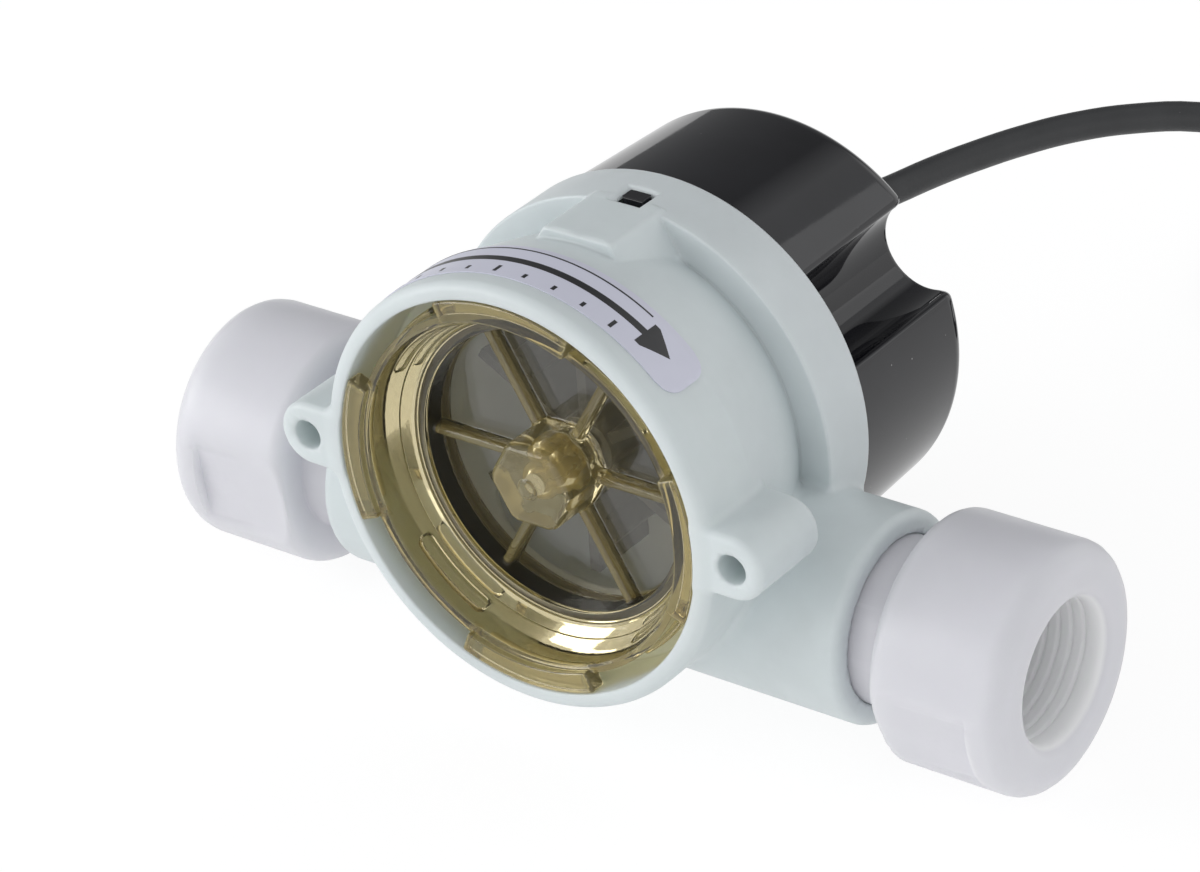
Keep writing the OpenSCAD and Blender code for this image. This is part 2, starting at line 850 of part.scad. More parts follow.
module strain_relief() {
    tail = cover_back + relief_len;
    color([0.08, 0.08, 0.085])
        placed()
            translate([0, 0, outlet_z])
                turned_y([[cable_hole_r, cover_floor - relief_flange_t],
                    [relief_flange_r, cover_floor - relief_flange_t],
                    [relief_flange_r, cover_floor], [relief_neck_r, cover_floor],
                    [relief_neck_r, cover_back + 0.1],
                    [relief_flange_r, cover_back + 0.1], [relief_flange_r, cover_back + 1],
                    [cable_hole_r + 0.6, tail], [cable_hole_r, tail]]);
}

// Sticker on the barrel, bent back where the barrel starts to taper
module label() {
    label_end = label_y + label_w;
    end_drop = waist_drop * waist_taper * (label_end - barrel_len) / (collar_y - barrel_len);
    end_r = rim_r - max(end_drop, 0);
    color([0.83, 0.81, 0.90])
        placed()
            swept_y(label_start + label_sweep / 2, label_sweep,
                [[rim_r, label_y], [rim_r + label_t, label_y], [rim_r + label_t, barrel_len],
                [end_r + label_t, label_end], [end_r, label_end], [rim_r, barrel_len]]);
}

module cable_lead() {
    color([0.17, 0.17, 0.18])
        placed()
            swept_tube(CABLE_ROUTE, cable_r, 8);
}

module cable_coil() {
    color([0.17, 0.17, 0.18])
        placed()
            translate([COIL_AT[0], COIL_AT[1], -floor_drop])
                rotate_extrude($fn = fine)
                    translate([coil_in_r, 0])
                        square([coil_out_r - coil_in_r, coil_h]);
}

// A conductor that leaves the coil's last turn and droops to the floor, side -1, 0 or 1
function lead_route(side) = let (steps = 8, start_z = coil_h - cable_r - wire_d / 2)
    [for (i = [0:steps])
        [COIL_AT[0] - 3 - 3 * i, COIL_AT[1] + coil_end_r + side * (wire_d + 0.05 + 0.35 * i),
        wire_d / 2 + 0.05 - floor_drop + start_z * (1 + cos(180 * i / steps)) / 2]];

module flying_wire(side, tint) {
    color(tint)
        placed()
            swept_tube(lead_route(side), wire_d / 2, 8);
}

module wire_red() {
    flying_wire(-1, [0.75, 0.08, 0.06]);
}

module wire_black() {
    flying_wire(0, [0.05, 0.05, 0.05]);
}

module wire_white() {
    flying_wire(1, [0.9, 0.9, 0.88]);
}

body();
lens();
lens_seal();
rotor();
rotor_bush();
rotor_magnets();
rotor_shaft();
front_washer();
rear_washer();
inlet_adapter();
outlet_adapter();
inlet_seal();
outlet_seal();
rear_cover();
circuit_board();
board_screws();
hall_sensor();
regulator();
capacitor();
resistors();
inner_wires();
strain_relief();
label();
cable_lead();
cable_coil();
wire_red();
wire_black();
wire_white();
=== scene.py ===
"""Water flow sensor with a clear bayonet window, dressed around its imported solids.

Pieces are shaped in the sensor's own frame in millimetres: X along the pipe, Y back along the
rotor's axis from the front rim, Z up from that axis. to_row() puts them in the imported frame.
"""
import json
import math
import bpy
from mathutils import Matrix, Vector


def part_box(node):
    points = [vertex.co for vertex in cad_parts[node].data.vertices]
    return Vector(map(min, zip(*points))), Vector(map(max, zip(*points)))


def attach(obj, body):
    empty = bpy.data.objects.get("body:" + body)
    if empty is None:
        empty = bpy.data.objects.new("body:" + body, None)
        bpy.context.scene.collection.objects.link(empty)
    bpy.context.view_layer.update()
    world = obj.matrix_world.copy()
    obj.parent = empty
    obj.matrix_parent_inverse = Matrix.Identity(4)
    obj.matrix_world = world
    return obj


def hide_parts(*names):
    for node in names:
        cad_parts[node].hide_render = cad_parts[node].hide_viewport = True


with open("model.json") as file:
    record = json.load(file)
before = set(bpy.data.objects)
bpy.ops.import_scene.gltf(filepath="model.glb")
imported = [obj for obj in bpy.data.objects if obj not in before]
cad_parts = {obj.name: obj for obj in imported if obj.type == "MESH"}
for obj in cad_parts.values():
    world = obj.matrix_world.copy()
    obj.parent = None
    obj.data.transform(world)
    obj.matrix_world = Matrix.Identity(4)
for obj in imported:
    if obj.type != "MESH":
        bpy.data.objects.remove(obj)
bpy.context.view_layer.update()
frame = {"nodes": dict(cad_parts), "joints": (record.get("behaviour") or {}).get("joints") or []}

from types import SimpleNamespace

import bpy
import numpy as np
from mathutils import Matrix, Vector

bl_info = {
    "name": "Water flow sensor",
    "version": (1, 0, 0),
    "blender": (4, 5, 0),
    "location": "3D View > Sidebar > Flow sensor",
    "description": "Builds a water flow sensor with a clear window, pipe adapters and a cable",
    "category": "Add Mesh",
}

MM = 0.001
SHAFT_HEIGHT = frame["joints"][0]["pos_m"][2]
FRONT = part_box("body")[0].y
TO_ROW = np.array([0.0, FRONT, SHAFT_HEIGHT])
PORT_Y = 23.9
PORT_Z = -17.5


def to_row(points):
    """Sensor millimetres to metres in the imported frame."""
    return np.asarray(points, float) * MM + TO_ROW


# Settings


def length(name, value, description, most=1.0):
    return bpy.props.FloatProperty(
        name=name, description=description, default=value * MM, min=0.0, max=most,
        precision=5, subtype="DISTANCE", unit="LENGTH")


def tint(name, value, description):
    return bpy.props.FloatVectorProperty(
        name=name, description=description, default=value, size=3, min=0.0, max=1.0,
        subtype="COLOR")


def share(name, value, description):
    return bpy.props.FloatProperty(
        name=name, description=description, default=value, min=0.0, max=1.0,
        subtype="FACTOR")


class FlowBodySettings(bpy.types.PropertyGroup):
    opening_r: length("Opening radius", 27.1, "Radius of the round opening at the front")
    opening_depth: length("Opening depth", 9.3, "Depth of the round opening")
    rim_r: length("Rim radius", 29.45, "Outer radius of the front rim and of the collar")
    rim_round: length("Rim rounding", 1.5, "Rounding of the rim's front edge")
    barrel_len: length("Barrel length", 10.5, "Length of the straight barrel behind the rim")
    waist_r: length("Waist radius", 24.8, "Radius of the barrel where it meets the collar")
    collar_y: length("Collar depth", 26.5, "Depth of the collar's front face")
    collar_end: length("Collar end", 35.4, "Depth of the collar's rear edge")
    collar_wall: length("Collar wall", 1.1, "Wall of the collar around the cover")
    port_r: length("Port radius", 14.0, "Outer radius of the port tubes")
    port_reach: length("Port reach", 40.4, "Reach of a port tube from the middle")
    ear_x: length("Ear distance", 32.7, "Distance from the middle to an ear's hole")
    ear_r: length("Ear radius", 4.4, "Radius of an ear's boss")
    ear_hole_r: length("Ear hole radius", 2.05, "Radius of an ear's screw hole")
    ear_len: length("Ear length", 13.0, "Length of an ear along its hole")
    plastic: tint("Body plastic", (0.655, 0.71, 0.72), "Colour of the body's plastic")


class FlowLensSettings(bpy.types.PropertyGroup):
    cup_r: length("Cup radius", 24.75, "Outer radius of the lens's cup")
    cup_mouth_r: length("Mouth radius", 23.5, "Inner radius of the cup at its mouth")
    cup_step_r: length("Step radius", 21.2, "Inner radius of the cup at its step")
    cup_front: length("Cup front", 1.2, "Depth of the cup's front edge")
    cup_step_y: length("Step depth", 7.6, "Depth of the step in the cup")
    well_r: length("Well radius", 19.6, "Inner radius of the well behind the step")
    well_outer_r: length("Well outer radius", 21.0, "Outer radius of the well's wall")
    window_y: length("Window depth", 11.2, "Depth of the window's front face")
    window_t: length("Window thickness", 1.5, "Thickness of the flat window")
    rib_h: length("Rib height", 1.9, "Height of the ribs on the window")
    rib_w: length("Rib width", 1.4, "Width of a rib")
    hub_r: length("Hub radius", 6.6, "Radius of the six-sided hub over its corners")
    hub_y: length("Hub depth", 3.2, "Depth of the hub's front face")
    lug_t: length("Lug thickness", 2.6, "Thickness of the lugs at the rim")
    skirt_back: length("Skirt depth", 14.6, "Depth of the rear end of the well's wall")
    groove_front: length("Groove front", 8.6, "Depth of the seal groove's front")
    groove_back: length("Groove back", 11.5, "Depth of the seal groove's back")
    groove_r: length("Groove radius", 20.2, "Radius of the seal groove's floor")
    amber: tint("Amber", (0.72, 0.63, 0.38), "Colour of the clear amber plastic")
    window: tint("Window tint", (0.83, 0.82, 0.78), "Colour of the thin window plate")


class FlowCoverSettings(bpy.types.PropertyGroup):
    cover_back: length("Cover depth", 61.3, "Depth of the cover's rear face")
    cover_r: length("Cover radius", 28.25, "Radius of the cover inside the collar")
    cover_step: length("Cover step", 0.5, "Step of the radius behind the collar")
    cover_draft: length("Cover draft", 0.8, "Draft from the collar to the back")
    cover_wall: length("Cover wall", 1.8, "Wall of the cover")
    cover_round: length("Rear rounding", 3.3, "Rounding of the rear edge")
    channel_r: length("Channel radius", 6.35, "Radius of the channel along the cover")
    plastic: tint("Cover plastic", (0.007, 0.007, 0.009), "Colour of the glossy cover")


class FlowAdapterSettings(bpy.types.PropertyGroup):
    head_r: length("Head radius", 16.4, "Outer radius of an adapter's head")
    head_in: length("Head start", 46.0, "Distance from the middle to the head")
    head_out: length("Head end", 64.9, "Distance from the middle to the open end")
    neck_r: length("Neck radius", 11.0, "Radius of the neck and the spigot")
    thread_r: length("Thread bore", 9.32, "Radius over the crests of the thread")
    thread_depth: length("Thread depth", 0.9, "Depth of the thread")
    pitch: length("Thread pitch", 1.814, "Distance from one thread to the next")
    flat_reach: length("Flat distance", 15.0, "Distance from the axis to a wrench flat")
    plastic: tint("Adapter plastic", (0.695, 0.69, 0.73), "Colour of the adapters' plastic")
    # Painted light: the bore tint is lighter than the adapter plastic, standing in for light that
    # the translucent wall lets into the shaded tapped bores.
    bore: tint("Painted bore light", (0.88, 0.88, 0.89), "Colour inside the tapped bores")


class FlowCableSettings(bpy.types.PropertyGroup):
    cable_d: length("Cable diameter", 4.2, "Diameter of the cable")
    wire_d: length("Wire diameter", 1.3, "Diameter of a conductor with its insulation")
    jacket: tint("Cable jacket", (0.030, 0.031, 0.033), "Colour of the cable's jacket")


class FlowLabelSettings(bpy.types.PropertyGroup):
    front: length("Label front", 3.3, "Depth of the label's front edge")
    width: length("Label width", 8.5, "Width of the label")
    thickness: length("Label thickness", 0.12, "Thickness of the label")
    paper: tint("Label film", (0.645, 0.65, 0.755), "Colour of the label's film")


SETTINGS = {
    "flow_body": FlowBodySettings,
    "flow_lens": FlowLensSettings,
    "flow_cover": FlowCoverSettings,
    "flow_adapter": FlowAdapterSettings,
    "flow_cable": FlowCableSettings,
    "flow_label": FlowLabelSettings,
}


def sizes(name):
    """The settings of one group, with every length in millimetres."""
    group = getattr(bpy.context.scene, name)
    found = {}
    for key in group.__annotations__:
        value = getattr(group, key)
        found[key] = tuple(value) if hasattr(value, "__len__") else round(value / MM, 4)
    return SimpleNamespace(**found)


# Distance fields


def common(a, b, r=0.0):
    """What two solids share, with its new edge rounded."""
    return (np.minimum(-r, np.maximum(a, b))
            + np.hypot(np.maximum(a + r, 0.0), np.maximum(b + r, 0.0)))


def join(a, b, r=0.0):
    """Two solids as one, with a fillet where they meet."""
    return (np.maximum(r, np.minimum(a, b))
            - np.hypot(np.maximum(r - a, 0.0), np.maximum(r - b, 0.0)))


def cut(a, b, r=0.0):
    """The first solid with the second taken away."""
    return common(a, -b, r)


def slab(value, low, high):
    return np.maximum(low - value, value - high)


def polygon_field(u, v, corners):
    """Signed distance to a closed outline in a plane, negative inside."""
    corners = np.asarray(corners, float)
    nearest = np.full(np.broadcast(u, v).shape, 1e9)
    inside = np.zeros(nearest.shape, bool)
    for (au, av), (bu, bv) in zip(corners, np.roll(corners, -1, axis=0)):
        eu, ev = bu - au, bv - av
        t = np.clip(((u - au) * eu + (v - av) * ev) / (eu * eu + ev * ev), 0.0, 1.0)
        nearest = np.minimum(nearest, (u - au - t * eu) ** 2 + (v - av - t * ev) ** 2)
        if ev != 0.0:
            crosses = (av > v) != (bv > v)
            inside ^= crosses & (u < eu * (v - av) / ev + au)
    return np.where(inside, -1.0, 1.0) * np.sqrt(nearest)


def sector(x, z, middle, half_width):
    """Distance outside a wedge about the Y axis, centred on an angle in degrees."""
    a = math.radians(middle)
    along = x * math.cos(a) + z * math.sin(a)
    across = np.abs(z * math.cos(a) - x * math.sin(a))
    w = math.radians(half_width)
    return across * math.cos(w) - along * math.sin(w)


def gradient(field, p, h=0.01):
    sides = []
    for axis in range(3):
        ahead, behind = p.copy(), p.copy()
        ahead[:, axis] += h
        behind[:, axis] -= h
        sides.append((field(*ahead.T) - field(*behind.T)) / (2 * h))
    return np.stack(sides, axis=1)


def net_cells(values):
    """The grid cells that the surface crosses, and where it cuts each cell's edges."""
    inside = values < 0
    shape = tuple(n - 1 for n in values.shape)
    count = np.zeros(shape, np.int8)
    corners = [(i, j, k) for i in (0, 1) for j in (0, 1) for k in (0, 1)]
    for i, j, k in corners:
        count += inside[i:i + shape[0], j:j + shape[1], k:k + shape[2]]
    cells = np.array(np.nonzero((count > 0) & (count < 8)))
    index = np.full(shape, -1)
    index[tuple(cells)] = np.arange(cells.shape[1])
    owners, spots = [], []
    for start in corners:
        for axis in range(3):
            if start[axis]:
                continue
            step = np.eye(3, dtype=int)[axis]
            here = cells + np.array(start)[:, None]
            a, b = values[tuple(here)], values[tuple(here + step[:, None])]
            hit = (a < 0) != (b < 0)
            t = a[hit] / (a[hit] - b[hit])
            owners.append(np.nonzero(hit)[0])
            spots.append(cells.T[hit] + np.array(start) + t[:, None] * step)
    return inside, index, cells.T, np.concatenate(owners), np.concatenate(spots)


def net_quads(inside, index, wraps):
    """One quad for each grid edge that crosses the surface. Cell -1 is the last one, so
    a first axis that wraps around closes on itself."""
    quads = []
    for axis in range(3):
        u, v = (axis + 1) % 3, (axis + 2) % 3
        low = [slice(None)] * 3
        high = [slice(None)] * 3
        low[axis], high[axis] = slice(None, -1), slice(1, None)
        change = inside[tuple(low)] != inside[tuple(high)]
        if wraps and axis:
            change[-1] = False
        edges = np.array(np.nonzero(change))
        outward = inside[tuple(edges)]
        ring = []
        for du, dv in ((1, 1), (0, 1), (0, 0), (1, 0)):
            cell = edges.copy()
            cell[u] -= du
            cell[v] -= dv
            ring.append(index[tuple(cell)])
        ring = np.stack(ring, axis=1)
        ring[~outward] = ring[~outward][:, ::-1]
        quads.append(ring)
    return np.concatenate(quads)


def settle(values, axes, field, wraps):
    """Grid points of the surface and its quads.

    Each point is drawn to where the flat pieces of surface in its cell meet, which keeps
    edges crisp, and is then moved onto the surface inside its own cell.
    """
    inside, index, cells, owners, spots = net_cells(values)
    count = len(cells)
    ticks = [np.arange(len(axis)) for axis in axes]
    spots = np.stack([np.interp(spots[:, i], ticks[i], axes[i]) for i in range(3)], axis=1)
    low = np.stack([axes[i][cells[:, i]] for i in range(3)], axis=1)
    size = np.stack([np.diff(axes[i])[cells[:, i]] for i in range(3)], axis=1)
    hits = np.bincount(owners, minlength=count)
    first = np.stack([np.bincount(owners, spots[:, i], count) for i in range(3)], axis=1)
    first /= hits[:, None]
    slopes = gradient(field, spots)
    slopes /= np.maximum(np.linalg.norm(slopes, axis=1, keepdims=True), 1e-9)
    offset = ((spots - first[owners]) * slopes).sum(axis=1)
    pull = np.zeros((count, 3, 3))
    aim = np.zeros((count, 3))
    for i in range(3):
        aim[:, i] = np.bincount(owners, slopes[:, i] * offset, count)
        for j in range(3):
            pull[:, i, j] = np.bincount(owners, slopes[:, i] * slopes[:, j], count)
    pull += 0.08 * np.eye(3)
    points = first + np.linalg.solve(pull, aim[:, :, None])[:, :, 0]
    points = np.clip(points, low - 0.05 * size, low + 1.05 * size)
    for _ in range(3):
        slope = gradient(field, points)
        steep = np.maximum((slope ** 2).sum(axis=1, keepdims=True), 0.05)
        points -= field(*points.T)[:, None] * slope / steep
        points = np.clip(points, low - 0.1 * size, low + 1.1 * size)
    return points, net_quads(inside, index, wraps)


def close_axis(points, quads, first_ring):
    """Draw the innermost ring of each face together into one point, so no pinhole stays."""
    near = np.flatnonzero(points[:, 1] < first_ring)
    points[near, :2] = 0.0
    _, first, group = np.unique(np.round(points[near, 2] * 2.0), return_index=True,
                                return_inverse=True)
    keep = np.arange(len(points))
    keep[near] = near[first][group.ravel()]
    used, flat = np.unique(keep[quads], return_inverse=True)
    faces = flat.reshape(np.shape(quads)).tolist()
    return points[used], [[a for a, b in zip(face, face[1:] + face[:1]) if a != b]
                          for face in faces]


def turned_solid(field, angles, radii, depths):
    """Points, outward normals and quads of a solid on a grid of rings about the Y axis, so
    that every turned edge is a clean circle."""
    def ring_field(angle, radius, depth):
        a = np.radians(angle)
        return field(radius * np.cos(a), depth, radius * np.sin(a))

    axes = [np.asarray(axis, float) for axis in (angles, radii, depths)]
    grid = np.meshgrid(*axes, indexing="ij", sparse=True)
    values = np.broadcast_to(ring_field(*grid), tuple(len(a) for a in axes))
    points, quads = settle(values, axes, ring_field, True)
    points, faces = close_axis(points, quads, axes[1][1])
    a = np.radians(points[:, 0])
    points = np.stack([points[:, 1] * np.cos(a), points[:, 2], points[:, 1] * np.sin(a)],
                      axis=1)
    normals = gradient(field, points)
    normals /= np.maximum(np.linalg.norm(normals, axis=1, keepdims=True), 1e-9)
    return points, normals, faces


def grid_line(*stretches):
    """Grid values from (start, end, step) stretches that follow each other."""
    values = []
    for start, end, step in stretches:
        count = max(1, round((end - start) / step))
        values.extend(np.linspace(start, end, count, endpoint=False))
    return np.array(values + [stretches[-1][1]])


# Mesh making


def new_piece(name, points, faces, body="housing", replaced=(), normals=None,
              sharp_angle=None):
    """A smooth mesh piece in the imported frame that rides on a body."""
    mesh = bpy.data.meshes.new(name)
    mesh.from_pydata(to_row(points).tolist(), [], np.asarray(faces).tolist()
                     if isinstance(faces, np.ndarray) else faces)
    mesh.validate()
    mesh.shade_smooth()
    if normals is not None:
        mesh.normals_split_custom_set_from_vertices(normals.tolist())
    if sharp_angle is not None:
        mesh.set_sharp_from_angle(angle=math.radians(sharp_angle))
    return place(bpy.data.objects.new(name, mesh), body, replaced)


def place(piece, body="housing", replaced=()):
    bpy.context.scene.collection.objects.link(piece)
    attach(piece, body)
    if replaced:
        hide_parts(*replaced)
    return piece


def mark_points(piece, name, amounts):
    """Store one number per point for the finish to use as a mask."""
    marks = piece.data.attributes.new(name, "FLOAT", "POINT")
    marks.data.foreach_set("value", amounts)


def rounded(outline, steps=4):
    """An outline of (a, b, radius) corners as plain points, each corner rounded."""
    made = []
    count = len(outline)
    for i, (a, b, r) in enumerate(outline):
        here = np.array([a, b], float)
        if r <= 0 or i in (0, count - 1):
            made.append(here)
            continue
        before = np.array(outline[i - 1][:2], float) - here
        after = np.array(outline[i + 1][:2], float) - here
        before, after = before / np.linalg.norm(before), after / np.linalg.norm(after)
        half = math.acos(float(np.clip(before @ after, -1, 1))) / 2
        if half > math.radians(88):
            made.append(here)
            continue
        reach = r / math.tan(half)
        centre = here + (before + after) / np.linalg.norm(before + after) * r / math.sin(half)
        start, end = here + before * reach - centre, here + after * reach - centre
        turn = math.atan2(start[0] * end[1] - start[1] * end[0], start @ end)
        for k in range(steps + 1):
            t = turn * k / steps
            c, s = math.cos(t), math.sin(t)
            made.append(centre + np.array([start[0] * c - start[1] * s,
                                           start[0] * s + start[1] * c]))
    return np.array(made)


def ring_grid(rings, closed_rows=True):
    """Quads over rows of points, each row a closed ring. The last row joins the first."""
    rows, sides = rings
    faces = []
    for i in range(rows if closed_rows else rows - 1):
        j = (i + 1) % rows
        for k in range(sides):
            n = (k + 1) % sides
            faces.append((i * sides + k, i * sides + n, j * sides + n, j * sides + k))
    return faces


# Materials


def node_group(name, inputs, outputs):
    """An empty shader node group with its sockets, and its two end nodes."""
    group = bpy.data.node_groups.new(name, "ShaderNodeTree")
    for label, value in inputs:
        socket = group.interface.new_socket(label, in_out="INPUT",
                                            socket_type="NodeSocketFloat")
        socket.default_value = value
    for label, kind in outputs:
        group.interface.new_socket(label, in_out="OUTPUT", socket_type=kind)
    start = group.nodes.new("NodeGroupInput")
    end = group.nodes.new("NodeGroupOutput")
    return group, start, end


def wire(tree, pairs):
    for a, b in pairs:
        tree.links.new(a, b)


def maths(tree, operation, a, b=None, clamp=False):
    node = tree.nodes.new("ShaderNodeMath")
    node.operation = operation
    node.use_clamp = clamp
    for socket, value in zip(node.inputs, (a, b)):
        if value is None:
            continue
        if isinstance(value, bpy.types.NodeSocket):
            tree.links.new(value, socket)
        else:
            socket.default_value = value
    return node.outputs[0]


def noise(tree, vector, scale, detail=3.0, roughness=0.55):
    node = tree.nodes.new("ShaderNodeTexNoise")
    tree.links.new(vector, node.inputs["Vector"])
    if isinstance(scale, bpy.types.NodeSocket):
        tree.links.new(scale, node.inputs["Scale"])
    else:
        node.inputs["Scale"].default_value = scale
    node.inputs["Detail"].default_value = detail
    node.inputs["Roughness"].default_value = roughness
    return node.outputs["Fac"]


def ramp(tree, value, low, high):
    """Value from low to high spread over 0 to 1, clamped."""
    node = tree.nodes.new("ShaderNodeMapRange")
    tree.links.new(value, node.inputs["Value"])
    for name, number in (("From Min", low), ("From Max", high)):
        if isinstance(number, bpy.types.NodeSocket):
            tree.links.new(number, node.inputs[name])
        else:
            node.inputs[name].default_value = number
    return node.outputs["Result"]


def make_moulded_skin():
    """Cloudy tone of a thick moulded wall, and the fine skin that the mould leaves."""
    group, start, end = node_group(
        "moulded_skin",
        [("Cloud Scale", 60.0), ("Grain Scale", 2600.0), ("Grain", 0.5)],
        [("Cloud", "NodeSocketFloat"), ("Skin Height", "NodeSocketFloat"),
         ("Sheen Spread", "NodeSocketFloat")])
    where = group.nodes.new("ShaderNodeTexCoord").outputs["Object"]
    cloud = noise(group, where, start.outputs["Cloud Scale"], 4.0, 0.6)
    grain = noise(group, where, start.outputs["Grain Scale"], 2.0, 0.5)
    waves = noise(group, where, 420.0, 2.0, 0.5)
    height = maths(group, "MULTIPLY", grain, start.outputs["Grain"])
    height = maths(group, "ADD", height, waves)
    wire(group, [
        (ramp(group, cloud, 0.3, 0.7), end.inputs["Cloud"]),
        (height, end.inputs["Skin Height"]),
        (ramp(group, waves, 0.25, 0.75), end.inputs["Sheen Spread"])])
    return group


def make_edge_wear_and_crease_shade():
    """Masks of the worn corners that hands and tools reach, and of the concave creases, where the
    finish paints shade.
    """
    group, start, end = node_group(
        "handled_edges",
        [("Edge Start", 0.52), ("Edge End", 0.60), ("Break Up", 900.0)],
        [("Edge", "NodeSocketFloat"), ("Crease", "NodeSocketFloat")])
    shape = group.nodes.new("ShaderNodeNewGeometry").outputs["Pointiness"]
    where = group.nodes.new("ShaderNodeTexCoord").outputs["Object"]
    broken = noise(group, where, start.outputs["Break Up"], 3.0, 0.6)
    edge = ramp(group, shape, start.outputs["Edge Start"], start.outputs["Edge End"])
    edge = maths(group, "MULTIPLY", edge, ramp(group, broken, 0.35, 0.6), clamp=True)
    # Concave creases: the mask where painted shade goes.
    crease_shade = ramp(group, shape, 0.48, 0.42)
    wire(group, [(edge, end.inputs["Edge"]), (crease_shade, end.inputs["Crease"])])
    return group


def make_fine_dust():
    """Sparse specks and soft smears that lie on a glossy surface."""
    group, start, end = node_group(
        "fine_dust",
        [("Speck Scale", 900.0), ("Smear Scale", 70.0)],
        [("Specks", "NodeSocketFloat"), ("Smears", "NodeSocketFloat")])
    where = group.nodes.new("ShaderNodeTexCoord").outputs["Object"]
    cells = group.nodes.new("ShaderNodeTexVoronoi")
    group.links.new(where, cells.inputs["Vector"])
    group.links.new(start.outputs["Speck Scale"], cells.inputs["Scale"])
    specks = ramp(group, cells.outputs["Distance"], 0.09, 0.05)
    chosen = ramp(group, noise(group, where, 240.0, 2.0, 0.5), 0.60, 0.66)
    smears = ramp(group, noise(group, where, start.outputs["Smear Scale"], 5.0, 0.6), 0.42, 0.75)
    wire(group, [
        (maths(group, "MULTIPLY", specks, chosen, clamp=True), end.inputs["Specks"]),
        (smears, end.inputs["Smears"])])
    return group


GROUP_MAKERS = {
    "moulded_skin": make_moulded_skin,
    "handled_edges": make_edge_wear_and_crease_shade,
    "fine_dust": make_fine_dust,
}


def use_group(tree, name, **values):
    node = tree.nodes.new("ShaderNodeGroup")
    node.node_tree = bpy.data.node_groups.get(name) or GROUP_MAKERS[name]()
    for label, value in values.items():
        node.inputs[label.replace("_", " ")].default_value = value
    return node


def new_material(name):
    material = bpy.data.materials.new(name)
    material.use_nodes = True
    tree = material.node_tree
    tree.nodes.clear()
    out = tree.nodes.new("ShaderNodeOutputMaterial")
    shader = tree.nodes.new("ShaderNodeBsdfPrincipled")
    tree.links.new(shader.outputs[0], out.inputs["Surface"])
    return material, tree, shader


def blended(tree, mask, a, b):
    """Colour a where the mask is 0 and colour b where it is 1."""
    node = tree.nodes.new("ShaderNodeMix")
    node.data_type = "RGBA"
    tree.links.new(mask, node.inputs["Factor"])
    for socket, value in ((node.inputs[6], a), (node.inputs[7], b)):
        if isinstance(value, bpy.types.NodeSocket):
            tree.links.new(value, socket)
        else:
            socket.default_value = (*value, 1.0)
    return node.outputs[2]


def spread(tree, mask, low, high):
    """A value that goes from low to high with a mask."""
    node = tree.nodes.new("ShaderNodeMapRange")
    tree.links.new(mask, node.inputs["Value"])
    node.inputs["To Min"].default_value = low
    node.inputs["To Max"].default_value = high
    return node.outputs["Result"]


def bump(tree, shader, height, distance, strength=1.0):
    node = tree.nodes.new("ShaderNodeBump")
    node.inputs["Distance"].default_value = distance
    node.inputs["Strength"].default_value = strength
    tree.links.new(height, node.inputs["Height"])
    tree.links.new(node.outputs["Normal"], shader.inputs["Normal"])


def shade(colour, factor):
    return tuple(min(1.0, c * factor) for c in colour)


def moulded_plastic(name, colour, rough=(0.34, 0.46), cloud=60.0, depth=0.05, grain=0.5,
                    skin=0.00002, subsurface=0.0, radius=(0.004, 0.0045, 0.004), inner=None):
    """Moulded thermoplastic: a faint cloudy tone, lighter handled edges, painted shade in concave
    creases, painted light in tapped bores when an inner colour is given, and a fine skin.
    """
    material, tree, shader = new_material(name)
    skin_group = use_group(tree, "moulded_skin", Cloud_Scale=cloud, Grain=grain)
    edges = use_group(tree, "handled_edges")
    tone = blended(tree, skin_group.outputs["Cloud"], shade(colour, 1 - depth),
                   shade(colour, 1 + depth))
    tone = blended(tree, edges.outputs["Edge"], tone, shade(colour, 1.08))
    # Painted shade: concave creases are darkened towards 0.72 of the colour, standing in for the
    # shade that falls in them.
    crease_shade = maths(tree, "MULTIPLY", edges.outputs["Crease"], 0.5)
    tone = blended(tree, crease_shade, tone, shade(colour, 0.72))
    # Painted light: faces inside the tapped bore take the lighter inner colour in place of the
    # plastic's own tone.
    if inner:
        face = tree.nodes.new("ShaderNodeAttribute")
        face.attribute_name = "inner_face"
        tone = blended(tree, face.outputs["Fac"], tone, inner)
    tree.links.new(tone, shader.inputs["Base Color"])
    tree.links.new(spread(tree, skin_group.outputs["Sheen Spread"], *rough),
                   shader.inputs["Roughness"])
    shader.inputs["IOR"].default_value = 1.49
    if subsurface:
        shader.inputs["Subsurface Weight"].default_value = subsurface
        shader.inputs["Subsurface Radius"].default_value = radius
        shader.inputs["Subsurface Scale"].default_value = 1.0
    bump(tree, shader, skin_group.outputs["Skin Height"], skin)
    return material


def glossy_cover_plastic(name, colour):
    """Polished black plastic with a little dust and faint smears."""
    material, tree, shader = new_material(name)
    dust = use_group(tree, "fine_dust", Speck_Scale=700.0, Smear_Scale=80.0)
    skin_group = use_group(tree, "moulded_skin", Cloud_Scale=90.0, Grain=0.1)
    tone = blended(tree, skin_group.outputs["Cloud"], colour, shade(colour, 1.6))
    tone = blended(tree, dust.outputs["Specks"], tone, (0.35, 0.35, 0.34))
    tree.links.new(tone, shader.inputs["Base Color"])
    tree.links.new(spread(tree, dust.outputs["Smears"], 0.04, 0.11),
                   shader.inputs["Roughness"])
    shader.inputs["IOR"].default_value = 1.52
    bump(tree, shader, skin_group.outputs["Skin Height"], 0.000003)
    return material


